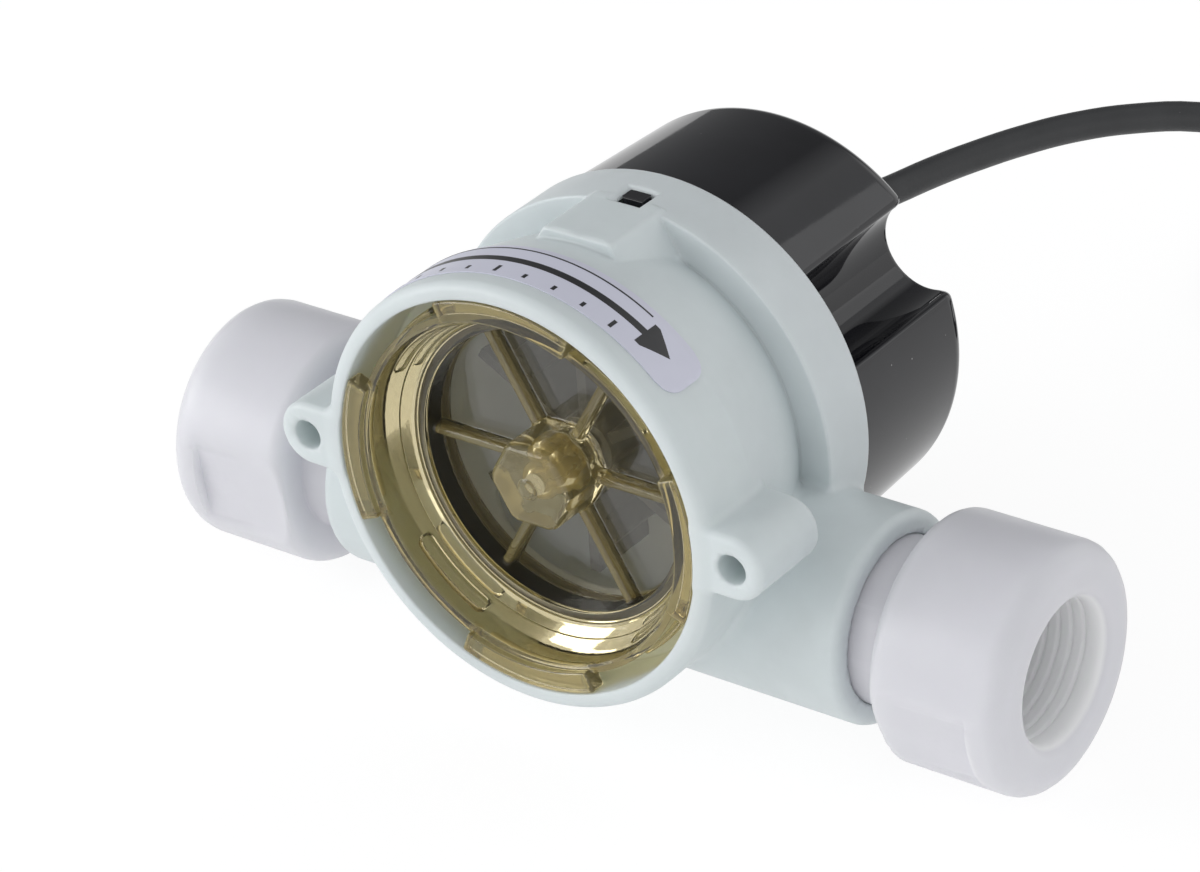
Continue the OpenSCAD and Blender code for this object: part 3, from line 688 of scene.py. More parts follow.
def amber_clear_plastic(name, colour, thin_colour):
    """Clear amber plastic: pale where it is a thin plate, hazy gold in ribs and hub."""
    material, tree, shader = new_material(name)
    depth = tree.nodes.new("ShaderNodeAttribute")
    depth.attribute_name = "amber_depth"
    depth = depth.outputs["Fac"]
    skin_group = use_group(tree, "moulded_skin", Cloud_Scale=120.0, Grain=0.0)
    tone = blended(tree, skin_group.outputs["Cloud"], shade(colour, 0.96), colour)
    tone = blended(tree, ramp(tree, depth, 0.0, 0.5), thin_colour, tone)
    tree.links.new(tone, shader.inputs["Base Color"])
    shader.inputs["Roughness"].default_value = 0.03
    shader.inputs["IOR"].default_value = 1.55
    shader.inputs["Transmission Weight"].default_value = 1.0
    bump(tree, shader, skin_group.outputs["Skin Height"], 0.00001)
    haze = tree.nodes.new("ShaderNodeBsdfDiffuse")
    tree.links.new(blended(tree, ramp(tree, depth, 0.4, 1.0), (0.50, 0.50, 0.44),
                           (0.56, 0.47, 0.22)), haze.inputs["Color"])
    cloudy = tree.nodes.new("ShaderNodeMixShader")
    clear = tree.nodes.new("ShaderNodeBsdfTransparent")
    clear.inputs["Color"].default_value = (*shade(colour, 1.12), 1.0)
    mix = tree.nodes.new("ShaderNodeMixShader")
    path = tree.nodes.new("ShaderNodeLightPath")
    out = next(n for n in tree.nodes if n.type == "OUTPUT_MATERIAL")
    wire(tree, [
        (spread(tree, ramp(tree, depth, 0.5, 1.0), 0.03, 0.22), cloudy.inputs[0]),
        (shader.outputs[0], cloudy.inputs[1]),
        (haze.outputs[0], cloudy.inputs[2]),
        (path.outputs["Is Shadow Ray"], mix.inputs[0]),
        (cloudy.outputs[0], mix.inputs[1]),
        (clear.outputs[0], mix.inputs[2]),
        (mix.outputs[0], out.inputs["Surface"])])
    return material


def soft_rubber(name, colour, rough=(0.45, 0.6)):
    material, tree, shader = new_material(name)
    skin_group = use_group(tree, "moulded_skin", Cloud_Scale=150.0, Grain=0.8)
    dust = use_group(tree, "fine_dust", Speck_Scale=1100.0, Smear_Scale=120.0)
    tone = blended(tree, skin_group.outputs["Cloud"], shade(colour, 0.88), shade(colour, 1.15))
    tone = blended(tree, dust.outputs["Specks"], tone, (0.3, 0.3, 0.3))
    tree.links.new(tone, shader.inputs["Base Color"])
    tree.links.new(spread(tree, skin_group.outputs["Sheen Spread"], *rough),
                   shader.inputs["Roughness"])
    bump(tree, shader, skin_group.outputs["Skin Height"], 0.00003)
    return material


def turned_metal(name, colour, rough=(0.2, 0.35)):
    material, tree, shader = new_material(name)
    skin_group = use_group(tree, "moulded_skin", Cloud_Scale=300.0, Grain=0.6)
    tone = blended(tree, skin_group.outputs["Cloud"], shade(colour, 0.9), colour)
    tree.links.new(tone, shader.inputs["Base Color"])
    tree.links.new(spread(tree, skin_group.outputs["Sheen Spread"], *rough),
                   shader.inputs["Roughness"])
    shader.inputs["Metallic"].default_value = 1.0
    bump(tree, shader, skin_group.outputs["Skin Height"], 0.00001)
    return material


def give(piece, material):
    piece.data.materials.clear()
    piece.data.materials.append(material)


def give_node(name, material):
    """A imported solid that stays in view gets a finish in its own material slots."""
    piece = frame["nodes"][name]
    if not piece.material_slots:
        piece.data.materials.append(material)
    for slot in piece.material_slots:
        slot.material = material


# Camera


class FLOW_OT_camera(bpy.types.Operator):
    """Place the camera at the photograph's viewing angle"""
    bl_idname = "flow.camera"
    bl_label = "Place the camera"

    def execute(self, context):
        azimuth, elevation, roll = (math.radians(v) for v in (37.989, 29.82, -4.17))
        back = Vector((math.sin(azimuth) * math.cos(elevation),
                       -math.cos(azimuth) * math.cos(elevation), math.sin(elevation)))
        right = Vector((math.cos(azimuth), math.sin(azimuth), 0.0))
        up = back.cross(right)
        side = right * math.cos(roll) + up * math.sin(roll)
        top = up * math.cos(roll) - right * math.sin(roll)
        data = bpy.data.cameras.new("photo_camera")
        data.lens = 141.63
        data.sensor_width = 36.0
        data.sensor_fit = "HORIZONTAL"
        data.clip_start = 0.01
        data.clip_end = 20.0
        camera = bpy.data.objects.new("photo_camera", data)
        turned = Matrix((side, top, back)).transposed().to_4x4()
        camera.matrix_world = Matrix.Translation((0.31772, -0.41904, 0.32976)) @ turned
        context.scene.collection.objects.link(camera)
        context.scene.camera = camera
        return {"FINISHED"}


# Stage


def soft_lamp(name, place_at, aim, size, power):
    data = bpy.data.lights.new(name, "AREA")
    data.shape = "RECTANGLE"
    data.size, data.size_y = size
    data.energy = power
    lamp = bpy.data.objects.new(name, data)
    lamp.location = place_at
    lamp.rotation_mode = "QUATERNION"
    lamp.rotation_quaternion = (Vector(aim) - Vector(place_at)).to_track_quat("-Z", "Y")
    bpy.context.scene.collection.objects.link(lamp)
    return lamp


def sees_background(tree, for_shine=1.0):
    """1 for the rays that show the white background: camera, clear and glossy ones."""
    path = tree.nodes.new("ShaderNodeLightPath")
    shine = maths(tree, "MULTIPLY", path.outputs["Is Glossy Ray"], for_shine)
    seen = maths(tree, "MAXIMUM", path.outputs["Is Camera Ray"],
                 path.outputs["Is Transmission Ray"])
    return maths(tree, "MAXIMUM", seen, shine)


class FLOW_OT_stage(bpy.types.Operator):
    """Make the pale floor, the soft lamps and the white surroundings"""
    bl_idname = "flow.stage"
    bl_label = "Make the stage"

    def execute(self, context):
        reach = 6.0
        mesh = bpy.data.meshes.new("floor")
        mesh.from_pydata([(-reach, -reach, 0), (reach, -reach, 0), (reach, reach, 0),
                          (-reach, reach, 0)], [], [(0, 1, 2, 3)])
        floor = bpy.data.objects.new("floor", mesh)
        context.scene.collection.objects.link(floor)
        floor.location.z = -0.0002
        material, tree, shader = new_material("pale_floor")
        paper = noise(tree, tree.nodes.new("ShaderNodeTexCoord").outputs["Object"], 9.0)
        tree.links.new(blended(tree, paper, (0.80, 0.80, 0.80), (0.84, 0.84, 0.84)),
                       shader.inputs["Base Color"])
        shader.inputs["Roughness"].default_value = 0.9
        shader.inputs["Specular IOR Level"].default_value = 0.1
        glow = tree.nodes.new("ShaderNodeEmission")
        glow.inputs["Color"].default_value = (1.0, 1.0, 1.0, 1.0)
        glow.inputs["Strength"].default_value = 1.12
        mix = tree.nodes.new("ShaderNodeMixShader")
        out = next(n for n in tree.nodes if n.type == "OUTPUT_MATERIAL")
        wire(tree, [
            (spread(tree, sees_background(tree, 0.4), 0.40, 0.78), mix.inputs[0]),
            (shader.outputs[0], mix.inputs[1]),
            (glow.outputs[0], mix.inputs[2]),
            (mix.outputs[0], out.inputs["Surface"])])
        give(floor, material)

        world = bpy.data.worlds.new("white_room")
        context.scene.world = world
        world.use_nodes = True
        tree = world.node_tree
        tree.nodes.clear()
        out = tree.nodes.new("ShaderNodeOutputWorld")
        way = tree.nodes.new("ShaderNodeSeparateXYZ")
        tree.links.new(tree.nodes.new("ShaderNodeTexCoord").outputs["Generated"],
                       way.inputs[0])
        right, behind, high = way.outputs
        room, background = (tree.nodes.new("ShaderNodeBackground") for _ in range(2))
        room.inputs["Color"].default_value = (0.98, 0.99, 1.0, 1.0)
        background.inputs["Color"].default_value = (1.0, 1.0, 1.0, 1.0)
        mix = tree.nodes.new("ShaderNodeMixShader")
        low_walls = ramp(tree, high, 0.50, 0.40)
        open_side = maths(tree, "MAXIMUM", ramp(tree, right, -0.15, 0.05),
                          ramp(tree, behind, 0.5, 0.3))
        light = spread(tree, ramp(tree, high, 0.9, 0.1), 0.66, 0.82)
        wire(tree, [
            (maths(tree, "MULTIPLY", light, spread(tree, open_side, 0.3, 1.0)),
             room.inputs["Strength"]),
            (sees_background(tree, maths(tree, "MULTIPLY", low_walls, open_side)),
             mix.inputs[0]),
            (room.outputs[0], mix.inputs[1]),
            (background.outputs[0], mix.inputs[2]),
            (mix.outputs[0], out.inputs["Surface"])])

        aim = (0.0, 0.0, 0.03)
        soft_lamp("left_softbox", (-0.62, -0.50, 0.30), aim, (0.55, 0.4), 2.1)
        soft_lamp("front_softbox", (0.20, -0.85, 0.12), aim, (0.8, 0.2), 0.4)
        soft_lamp("rear_softbox", (0.50, 0.82, 0.68), aim, (0.42, 0.36), 0.28)
        context.scene.view_settings.view_transform = "Standard"
        return {"FINISHED"}


# Cable

CABLE_EXIT = (0.0, 69.3, 7.0)
CABLE_ROUTE = (
    (0.8, 77, 6.6), (2.4, 83, 6.4), (4.3, 90, 6.4), (6.8, 97, 6.4), (10, 104.2, 6.4),
    (14, 111.2, 6.3), (19.4, 117.8, 6), (26, 123.8, 5.2), (32.8, 128.4, 3.2),
    (39.4, 131.4, -0.4), (45.4, 133.2, -5.4), (51, 134.4, -11.2), (56.2, 135.8, -17.2),
    (61, 138.2, -22.6), (65.2, 142, -27.1), (68.4, 147.2, -30.2), (70, 153.4, -31.35),
)
COIL_AT = (42.7, 159.6)
COIL_TURN_R = 23.1
COIL_SWEEP = 1170
TIE_T = 0.35
FLOOR_Z = -33.9


def coil_point(turn, cable_d):
    """Centre of the cable on the coil, at an angle in degrees from where it lands.

    Three turns lie side by side. In the last quarter of each turn the cable steps in by its
    own width, and after the third it climbs into the groove on top of the inner two.
    """
    outer = COIL_TURN_R + cable_d
    rise = 0.0
    step = min(max((turn % 360 - 270.0) / 90.0, 0.0), 1.0)
    step = step * step * (3 - 2 * step)
    if turn < 990:
        r = outer - cable_d * (turn // 360 + step)
    elif turn < 1080:
        lean = math.radians(120.0 * step)
        r = outer - cable_d * (1 + step) - cable_d * math.cos(lean)
        rise = cable_d * math.sin(lean)
    else:
        r = COIL_TURN_R - cable_d / 2
        rise = cable_d * math.sqrt(3) / 2
    a = math.radians(turn)
    return (COIL_AT[0] + r * math.cos(a), COIL_AT[1] + r * math.sin(a),
            FLOOR_Z + TIE_T + cable_d / 2 + rise)


def line_piece(name, points, diameter, resolution=8):
    """A round cable along points, as one open smooth spline."""
    data = bpy.data.curves.new(name, "CURVE")
    data.dimensions = "3D"
    data.resolution_u = 4
    data.bevel_depth = 1.0
    data.bevel_resolution = resolution
    data.use_fill_caps = True
    spline = data.splines.new("BEZIER")
    spline.bezier_points.add(len(points) - 1)
    for knot, at in zip(spline.bezier_points, to_row(points)):
        knot.co = at
        knot.radius = diameter / 2 * MM
        knot.handle_left_type = knot.handle_right_type = "AUTO"
    return bpy.data.objects.new(name, data)


class FLOW_OT_cable(bpy.types.Operator):
    """Make the cable, its coil outside the view and its three stripped conductors"""
    bl_idname = "flow.cable"
    bl_label = "Make the cable"

    def execute(self, context):
        s = sizes("flow_cable")
        coil = [coil_point(t, s.cable_d) for t in range(0, COIL_SWEEP + 1, 15)]
        cable = line_piece("cable", [CABLE_EXIT, *CABLE_ROUTE, *coil], s.cable_d)
        place(cable, "housing", ("cable_lead", "cable_coil"))
        material = soft_rubber("cable_jacket", s.jacket, (0.38, 0.5))
        give(cable, material)

        wires = []
        start_z = coil[-1][2] - FLOOR_Z - s.wire_d / 2
        for name, side, colour in (("wire_red", -1, (0.55, 0.02, 0.015)),
                                   ("wire_black", 0, (0.015, 0.015, 0.016)),
                                   ("wire_white", 1, (0.75, 0.74, 0.71))):
            steps = 8
            points = [
                (COIL_AT[0] - 3 - 3 * i,
                 coil[-1][1] + side * (s.wire_d + 0.05 + 0.35 * i),
                 s.wire_d / 2 + 0.05 + FLOOR_Z
                 + start_z * (1 + math.cos(math.pi * i / steps)) / 2)
                for i in range(steps + 1)]
            core = line_piece(name + "_lead", points[:-1], s.wire_d, 5)
            place(core, "housing", (name,))
            give(core, soft_rubber(name + "_insulation", colour, (0.3, 0.42)))
            tip = line_piece(name + "_tinned_end", [points[-2], points[-1]],
                             s.wire_d * 0.6, 4)
            place(tip, "housing")
            give(tip, turned_metal(name + "_tin", (0.72, 0.72, 0.70)))
            wires += [core, tip]
        tie = self.make_tie(s)
        return {"FINISHED"}

    def make_tie(self, s):
        """A flat paper tie around the three turns."""
        angle, half_width = math.radians(150.0), 1.6
        low, high = COIL_TURN_R - 1.5 * s.cable_d, COIL_TURN_R + 1.5 * s.cable_d
        top, corner = TIE_T + s.cable_d, s.cable_d / 2
        loop = []
        for middle, start in (((high - corner, TIE_T + corner), 0.0),
                              ((low + corner, TIE_T + corner), 90.0)):
            for k in range(13):
                t = math.radians(start - 90.0 + 90.0 * k * 2 / 12 if start == 0.0
                                 else start + 180.0 * k / 12)
                loop.append((middle[0] + corner * math.cos(t),
                             middle[1] + corner * math.sin(t), math.cos(t), math.sin(t)))
        points = []
        for u, v, nu, nv in loop:
            for out, across in ((0.0, -half_width), (0.0, half_width),
                                (TIE_T * 0.9, half_width), (TIE_T * 0.9, -half_width)):
                radial = u + nu * out
                points.append((COIL_AT[0] + radial * math.cos(angle) - across * math.sin(angle),
                               COIL_AT[1] + radial * math.sin(angle) + across * math.cos(angle),
                               FLOOR_Z + v + nv * out))
        tie = new_piece("coil_tie", points, ring_grid((len(loop), 4)), sharp_angle=40)
        give(tie, moulded_plastic("tie_paper", (0.7, 0.69, 0.66), (0.5, 0.65), depth=0.06))
        return tie


class FLOW_OT_strain_relief(bpy.types.Operator):
    """Make the ribbed boot where the cable leaves the cover"""
    bl_idname = "flow.strain_relief"
    bl_label = "Make the strain relief"

    def execute(self, context):
        bore, flange, back = 2.15, 4.6, 61.3
        tail = CABLE_EXIT[1]
        outline = [(bore, back - 3.3, 0), (flange, back - 3.3, 0.2), (flange, back - 1.8, 0.1),
                   (3.2, back - 1.8, 0), (3.2, back + 0.1, 0), (flange, back + 0.1, 0.3),
                   (flange, back + 1.0, 0.35)]
        ribs, first = 4, back + 1.0
        for i in range(ribs):
            at = first + (tail - first) * i / ribs
            wide = flange - 0.5 - (flange - 0.5 - 2.85) * i / ribs
            pitch = (tail - first) / ribs
            outline += [(wide - 0.75, at + 0.05, 0.15), (wide - 0.8, at + pitch * 0.45, 0.2),
                        (wide - 0.1, at + pitch * 0.55, 0.25), (wide - 0.15, at + pitch, 0.25)]
        outline += [(bore + 0.45, tail, 0.15), (bore, tail, 0)]
        rows = rounded(outline, 3)
        sides = 48
        a = np.linspace(0, 2 * math.pi, sides, endpoint=False)
        points = np.array([[r * c, y, CABLE_EXIT[2] + r * s]
                           for r, y in rows for c, s in zip(np.cos(a), np.sin(a))])
        piece = new_piece("strain_relief_boot", points, ring_grid((len(rows), sides)),
                          replaced=("strain_relief",), sharp_angle=50)
        give(piece, soft_rubber("boot_rubber", (0.03, 0.03, 0.032)))
        return {"FINISHED"}


# Body


def barrel_radius(y, s):
    """Outer radius of the barrel behind its straight front."""
    t = np.clip((y - s.barrel_len) / (s.collar_y - s.barrel_len), 0.0, 1.0)
    return s.rim_r - (s.rim_r - s.waist_r) * (0.8 * t + 0.2 * t ** 6)


def ear_field(x, y, z, s):
    """Round boss with a straight web, level with the rim, on both sides."""
    flat = np.hypot(np.maximum(np.abs(x) - s.ear_x, 0.0), z) - s.ear_r
    flat = common(flat, 20.0 - np.abs(x))
    return common(flat + 0 * y, slab(y, 0.0, s.ear_len), 1.0)


def body_field(x, y, z, s):
    r = np.hypot(x, z)
    pipe_r = np.hypot(y - PORT_Y, z - PORT_Z)
    chamber_y, chamber_end, body_back = 14.7, 30.5, 33.0
    collar_inner, web_end = s.rim_r - s.collar_wall, s.collar_y + 1.5

    solid = common(r - barrel_radius(y, s), -y, s.rim_round)
    solid = common(solid, y - body_back)
    collar = common(common(r - s.rim_r, y - s.collar_end, 0.35), s.collar_y - y, 0.35)
    solid = join(solid, collar, 0.3)
    half = 5.3 + (s.rim_r - 0.4 - z) * 4.0 / 6.25
    block = common((np.abs(x) - half) * 0.84, z - (s.rim_r - 0.1), 0.4)
    block = common(block, slab(y, 16.5, web_end), 0.4)
    block = common(block, 18.0 - z)
    solid = join(solid, block, 0.35)
    solid = join(solid, ear_field(x, y, z, s), 1.1)
    hollow = common(slab(r, s.waist_r, collar_inner), web_end - y)
    behind = common(r - collar_inner, body_back - y)
    solid = cut(cut(solid, hollow, 0.2), behind, 0.2)

    tube = common(pipe_r - s.port_r, np.abs(x) - s.port_reach, 1.4)
    solid = join(solid, tube, 1.2)
    for side in (-1, 1):
        post = common(np.hypot(x - side * 11.0, z - 4.0) - 2.2, slab(y, 32.5, 35.6))
        solid = join(solid, post, 0.2)

    well = common(r - s.opening_r, y - s.opening_depth)
    bore = common(r - 22.2, y - chamber_y)
    chamber = common(r - 20.2, slab(y, chamber_y - 1.0, chamber_end), 0.5)
    boss = common(r - 4.0, 28.7 - y, 0.3)
    keeper = common(slab(r, 24.85, 29.0), slab(y, 2.7, 3.7), 0.15)
    tabs = np.minimum.reduce([sector(x, z, a, 18.0) + 0 * y for a in (0, 90, 180, 270)])
    keeper = common(keeper, tabs, 0.15)
    space = np.minimum(np.minimum(cut(well, keeper), bore), cut(chamber, boss, 0.2))
    solid = cut(solid, space, 0.35)
    water = common(pipe_r - 8.0, np.abs(x) - 29.6)
    socket = common(pipe_r - 11.05, 29.5 - np.abs(x))
    solid = cut(cut(solid, water, 0.2), socket, 0.4)
    flare = np.maximum(np.abs(z) - 28.7, 0.0) * 1.1
    window = np.maximum(np.abs(x) - 1.85 - flare, slab(y, 26.9, 30.6) - flare * 0.6)
    window = common(window, 26.3 - np.abs(z))
    solid = cut(solid, window, 0.15)
    solid = cut(solid, common(r - 1.5, slab(y, 27.0, 32.1)))
    hole = np.hypot(np.abs(x) - s.ear_x, z) - s.ear_hole_r
    return cut(solid, hole + 0 * y, 0.3)


class FLOW_OT_body(bpy.types.Operator):
    """Make the moulded body with its rim, collar, ears and port tubes"""
    bl_idname = "flow.body"
    bl_label = "Make the body"

    def execute(self, context):
        s = sizes("flow_body")
        coarse = 1.0
        angles = np.linspace(0, 360, round(400 / coarse) + 1)
        radii = grid_line(*[(a, b, step * coarse) for a, b, step in (
            (0.05, 3.0, 0.5), (3.0, 19.0, 0.75), (19.0, 20.9, 0.4), (20.9, 24.0, 0.6),
            (24.0, 30.0, 0.4), (30.0, 55.0, 0.68))])
        depths = grid_line(*[(a, b, step * coarse) for a, b, step in (
            (-0.6, 1.8, 0.3), (1.8, 8.6, 0.7), (8.6, 10.0, 0.35), (10.0, 26.0, 0.72),
            (26.0, 28.6, 0.35), (28.6, 34.8, 0.65), (34.8, 36.0, 0.3), (36.0, 39.5, 0.65))])
        points, normals, quads = turned_solid(
            lambda x, y, z: body_field(x, y, z, s), angles, radii, depths)
        piece = new_piece("moulded_body", points, quads, replaced=("body",),
                          normals=normals)
        give(piece, moulded_plastic("body_polypropylene", s.plastic, subsurface=0.25))
        return {"FINISHED"}


# Lens


def lens_field(x, y, z, s):
    r = np.hypot(x, z) + 0 * y
    depth = y + 0 * r
    window_back = s.window_y + s.window_t
    solid = polygon_field(r, depth, [
        (-5, s.window_y), (s.well_r, s.window_y), (s.well_r, s.cup_step_y + 0.5),
        (s.well_r + 0.15, s.cup_step_y + 0.15), (s.well_r + 0.5, s.cup_step_y),
        (s.cup_step_r, s.cup_step_y), (s.cup_step_r + 0.3, s.cup_step_y - 0.3),
        (s.cup_mouth_r, s.cup_front + 0.5), (s.cup_mouth_r + 0.15, s.cup_front + 0.15),
        (s.cup_mouth_r + 0.5, s.cup_front), (s.cup_r, s.cup_front), (s.cup_r, 7.8),
        (s.well_outer_r, 7.8), (s.well_outer_r, s.groove_front), (s.groove_r, s.groove_front),
        (s.groove_r, s.groove_back), (s.well_outer_r, s.groove_back),
        (s.well_outer_r, s.skirt_back), (s.groove_r, s.skirt_back), (s.groove_r, window_back),
        (-5, window_back)])
    angle = np.degrees(np.arctan2(z, x)) + 0 * y
    for middle in (0, 90, 180, 270):
        lug = common(slab(r, s.cup_mouth_r + 0.6, 27.0), slab(depth, 0.0, s.lug_t), 0.35)
        solid = join(solid, common(lug, sector(x, z, middle, 22.5) + 0 * y, 0.35), 0.25)
        along = np.radians((angle - middle - 50.0 + 180.0) % 360.0 - 180.0) * s.cup_r
        pad = np.hypot(np.maximum(np.abs(along) - 5.4, 0.0), depth - 6.1) - 1.0
        pad = common(pad, slab(r, s.cup_r - 0.5, s.cup_r + 0.7), 0.3)
        solid = join(solid, pad, 0.2)
    for turn in range(0, 180, 60):
        a = math.radians(turn)
        across = np.abs(z * math.cos(a) - x * math.sin(a)) + 0 * y
        rib = common(across - s.rib_w / 2, s.window_y - s.rib_h - depth, 0.65)
        rib = common(np.maximum(rib, depth - window_back + 0.2), r - s.well_r - 0.3)
        solid = join(solid, rib, 0.25)
    apothem = s.hub_r * math.cos(math.radians(30))
    hexagon = np.maximum.reduce([
        x * math.cos(math.radians(a)) + z * math.sin(math.radians(a)) + 0 * y
        for a in range(30, 390, 60)]) - apothem
    hexagon = common(hexagon, r - s.hub_r + 0.35, 0.5)
    hub = common(hexagon, slab(depth, s.hub_y, window_back - 0.2), 1.4)
    solid = join(solid, hub, 0.5)
    nub = common(r - 1.3, slab(depth, s.hub_y - 0.35, s.hub_y + 1.0), 0.3)
    solid = join(solid, nub, 0.3)
    bore = common(r - 1.52, slab(depth, s.hub_y + 4.0, window_back + 1.0))
    dome = common(np.hypot(r, np.minimum(depth - s.hub_y - 5.6, 0.0)) - 2.7,
                  depth - s.hub_y - 7.6, 0.3)
    return cut(solid, join(bore, dome, 0.3), 0.1)


def lens_thickness(points, s):
    """How deep the amber looks: 0 on the window plate, a half in the cup, 1 in ribs and hub."""
    r = np.hypot(points[:, 0], points[:, 2])
    raised = points[:, 1] < s.window_y - 0.15
    turn = np.degrees(np.arctan2(points[:, 2], points[:, 0])) % 90.0
    lug_end = (np.abs(turn - 22.5) < 1.5) | (np.abs(turn - 67.5) < 1.5)
    lug_end &= (r > s.cup_mouth_r + 0.4) & (points[:, 1] < s.lug_t + 0.3)
    cup = np.where(lug_end, 1.0, 0.5)
    return np.where(r > s.well_r - 0.3, cup, np.where(raised, 1.0, 0.0))


class FLOW_OT_lens(bpy.types.Operator):
    """Make the clear amber lens with its lugs, step, ribs and hub"""
    bl_idname = "flow.lens"
    bl_label = "Make the lens"

    def execute(self, context):
        s = sizes("flow_lens")
        coarse = 1.0
        angles = np.linspace(0, 360, round(432 / coarse) + 1)
        radii = grid_line(*[(a, b, step * coarse) for a, b, step in (
            (0.03, 1.2, 0.4), (1.2, 7.0, 0.3), (7.0, 18.8, 0.9), (18.8, 22.6, 0.24),
            (22.6, 27.5, 0.26))])
        depths = grid_line(*[(a, b, step * coarse) for a, b, step in (
            (-0.5, 3.2, 0.25), (3.2, 7.2, 0.3), (7.2, 10.4, 0.25), (10.4, 11.6, 0.4),
            (11.6, 15.2, 0.3))])
        points, normals, quads = turned_solid(
            lambda x, y, z: lens_field(x, y, z, s), angles, radii, depths)
        piece = new_piece("amber_lens", points, quads, replaced=("lens",),
                          normals=normals)
        mark_points(piece, "amber_depth", lens_thickness(points, s))
        give(piece, amber_clear_plastic("amber_lens", s.amber, s.window))
        self.make_seal(s)
        return {"FINISHED"}

    def make_seal(self, s):
        """The black ring that fills the groove around the well."""
        inner, outer = s.groove_r - 0.03, s.well_outer_r + 0.9
        rows = rounded([(inner, s.groove_front + 0.05, 0.0), (outer, s.groove_front + 0.05, 0.9),
                        (outer, s.groove_back - 0.05, 0.9), (inner, s.groove_back - 0.05, 0.0)],
                       4)
        a = np.linspace(0, 2 * math.pi, 144, endpoint=False)
        points = np.array([[r * c, y, r * w] for r, y in rows
                           for c, w in zip(np.cos(a), np.sin(a))])
        ring = new_piece("lens_seal_ring", points, ring_grid((len(rows), 144)),
                         replaced=("lens_seal",), sharp_angle=50)
        give(ring, soft_rubber("seal_rubber_lens", (0.006, 0.006, 0.006), (0.3, 0.45)))


# Rear cover


def cover_field(x, y, z, s):
    r = np.hypot(x, z) + 0 * y
    depth = y + 0 * r
    front, behind_collar = 28.4, 35.7
    shell_r = s.cover_r + s.cover_step
    lean = s.cover_draft / (s.cover_back - s.cover_round - behind_collar)

    def shell(inset):
        skirt = common(r - s.cover_r + inset, slab(depth, front - 2.0 * (inset > 0),
                                                   behind_collar + 1.0))
        wall = r - (shell_r - inset - lean * np.maximum(depth - behind_collar, 0.0))
        main = common(wall, depth - (s.cover_back - inset), s.cover_round - inset)
        main = common(main, behind_collar - depth, 0.15)
        return np.minimum(skirt, main)

    away = math.radians(31.2)
    out = s.cover_r - 1.96
    channel = np.hypot(x - out * math.cos(away), z - out * math.sin(away)) + 0 * y
    inside = cut(shell(s.cover_wall),
                 common(channel - s.channel_r - s.cover_wall,
                        behind_collar - s.cover_wall - depth))
    solid = cut(shell(0.0), inside)
    solid = cut(solid, common(channel - s.channel_r, behind_collar - depth, 0.6), 1.1)
    pipe_r = np.hypot(y - PORT_Y, z - PORT_Z) + 0 * x
    solid = cut(solid, pipe_r - 14.1)
    outlet = np.hypot(x, z - CABLE_EXIT[2]) - 3.25 + 0 * y
    solid = cut(solid, common(outlet, 55.0 - depth), 0.2)
    hook = np.maximum(np.maximum(np.abs(x) - 1.6, slab(depth, 28.4, 30.4)),
                      slab(np.abs(z) + 0 * x, 27.2, 29.15))
    return np.minimum(solid, hook)


class FLOW_OT_rear_cover(bpy.types.Operator):
    """Make the glossy rear cover with its side channel"""
    bl_idname = "flow.rear_cover"
    bl_label = "Make the rear cover"

    def execute(self, context):
        s = sizes("flow_cover")
        coarse = 1.0
        angles = np.linspace(0, 360, round(480 / coarse) + 1)
        radii = grid_line(*[(a, b, step * coarse) for a, b, step in (
            (0.05, 16.0, 0.8), (16.0, 24.0, 0.5), (24.0, 30.0, 0.35))])
        depths = grid_line(*[(a, b, step * coarse) for a, b, step in (
            (27.8, 31.0, 0.5), (31.0, 34.8, 0.9), (34.8, 37.2, 0.35), (37.2, 56.0, 1.0),
            (56.0, 62.0, 0.35))])
        points, normals, quads = turned_solid(
            lambda x, y, z: cover_field(x, y, z, s), angles, radii, depths)
        piece = new_piece("glossy_cover", points, quads, replaced=("rear_cover",),
                          normals=normals)
        give(piece, glossy_cover_plastic("cover_black", s.plastic))
        return {"FINISHED"}


# Adapters


def adapter_rows(s):
    """Outline of an adapter as radius, reach and kind, out along it and back in the bore."""
    outside = [(8.0, 29.6, 0.0), (s.neck_r, 29.6, 0.6), (s.neck_r, 32.5, 0), (9.7, 32.5, 0.1),
               (9.7, 34.3, 0.1), (s.neck_r, 34.3, 0), (s.neck_r, s.head_in, 0.35),
               (s.head_r, s.head_in, 2.0), (s.head_r, s.head_in + 14.0, 0)]
    outside += [(s.head_r, s.head_in + 14.35, 0), (s.head_r, s.head_out, 3.0),
                (s.thread_r, s.head_out, 1.7), (s.thread_r, s.head_out - 2.0, 0)]
    rows = [(r, x, 0) for r, x in rounded(outside, 5)]
    last = s.head_out - 15.3
    turns = int((s.head_out - 2.0 - last) / s.pitch * 10)
    for i in range(1, turns):
        rows.append((s.thread_r, s.head_out - 2.0 - i * s.pitch / 10, 1))
    rows += [(s.thread_r, last, 0), (s.thread_r, last - 0.2, 0), (8.0, last - 0.6, 0)]
    return rows


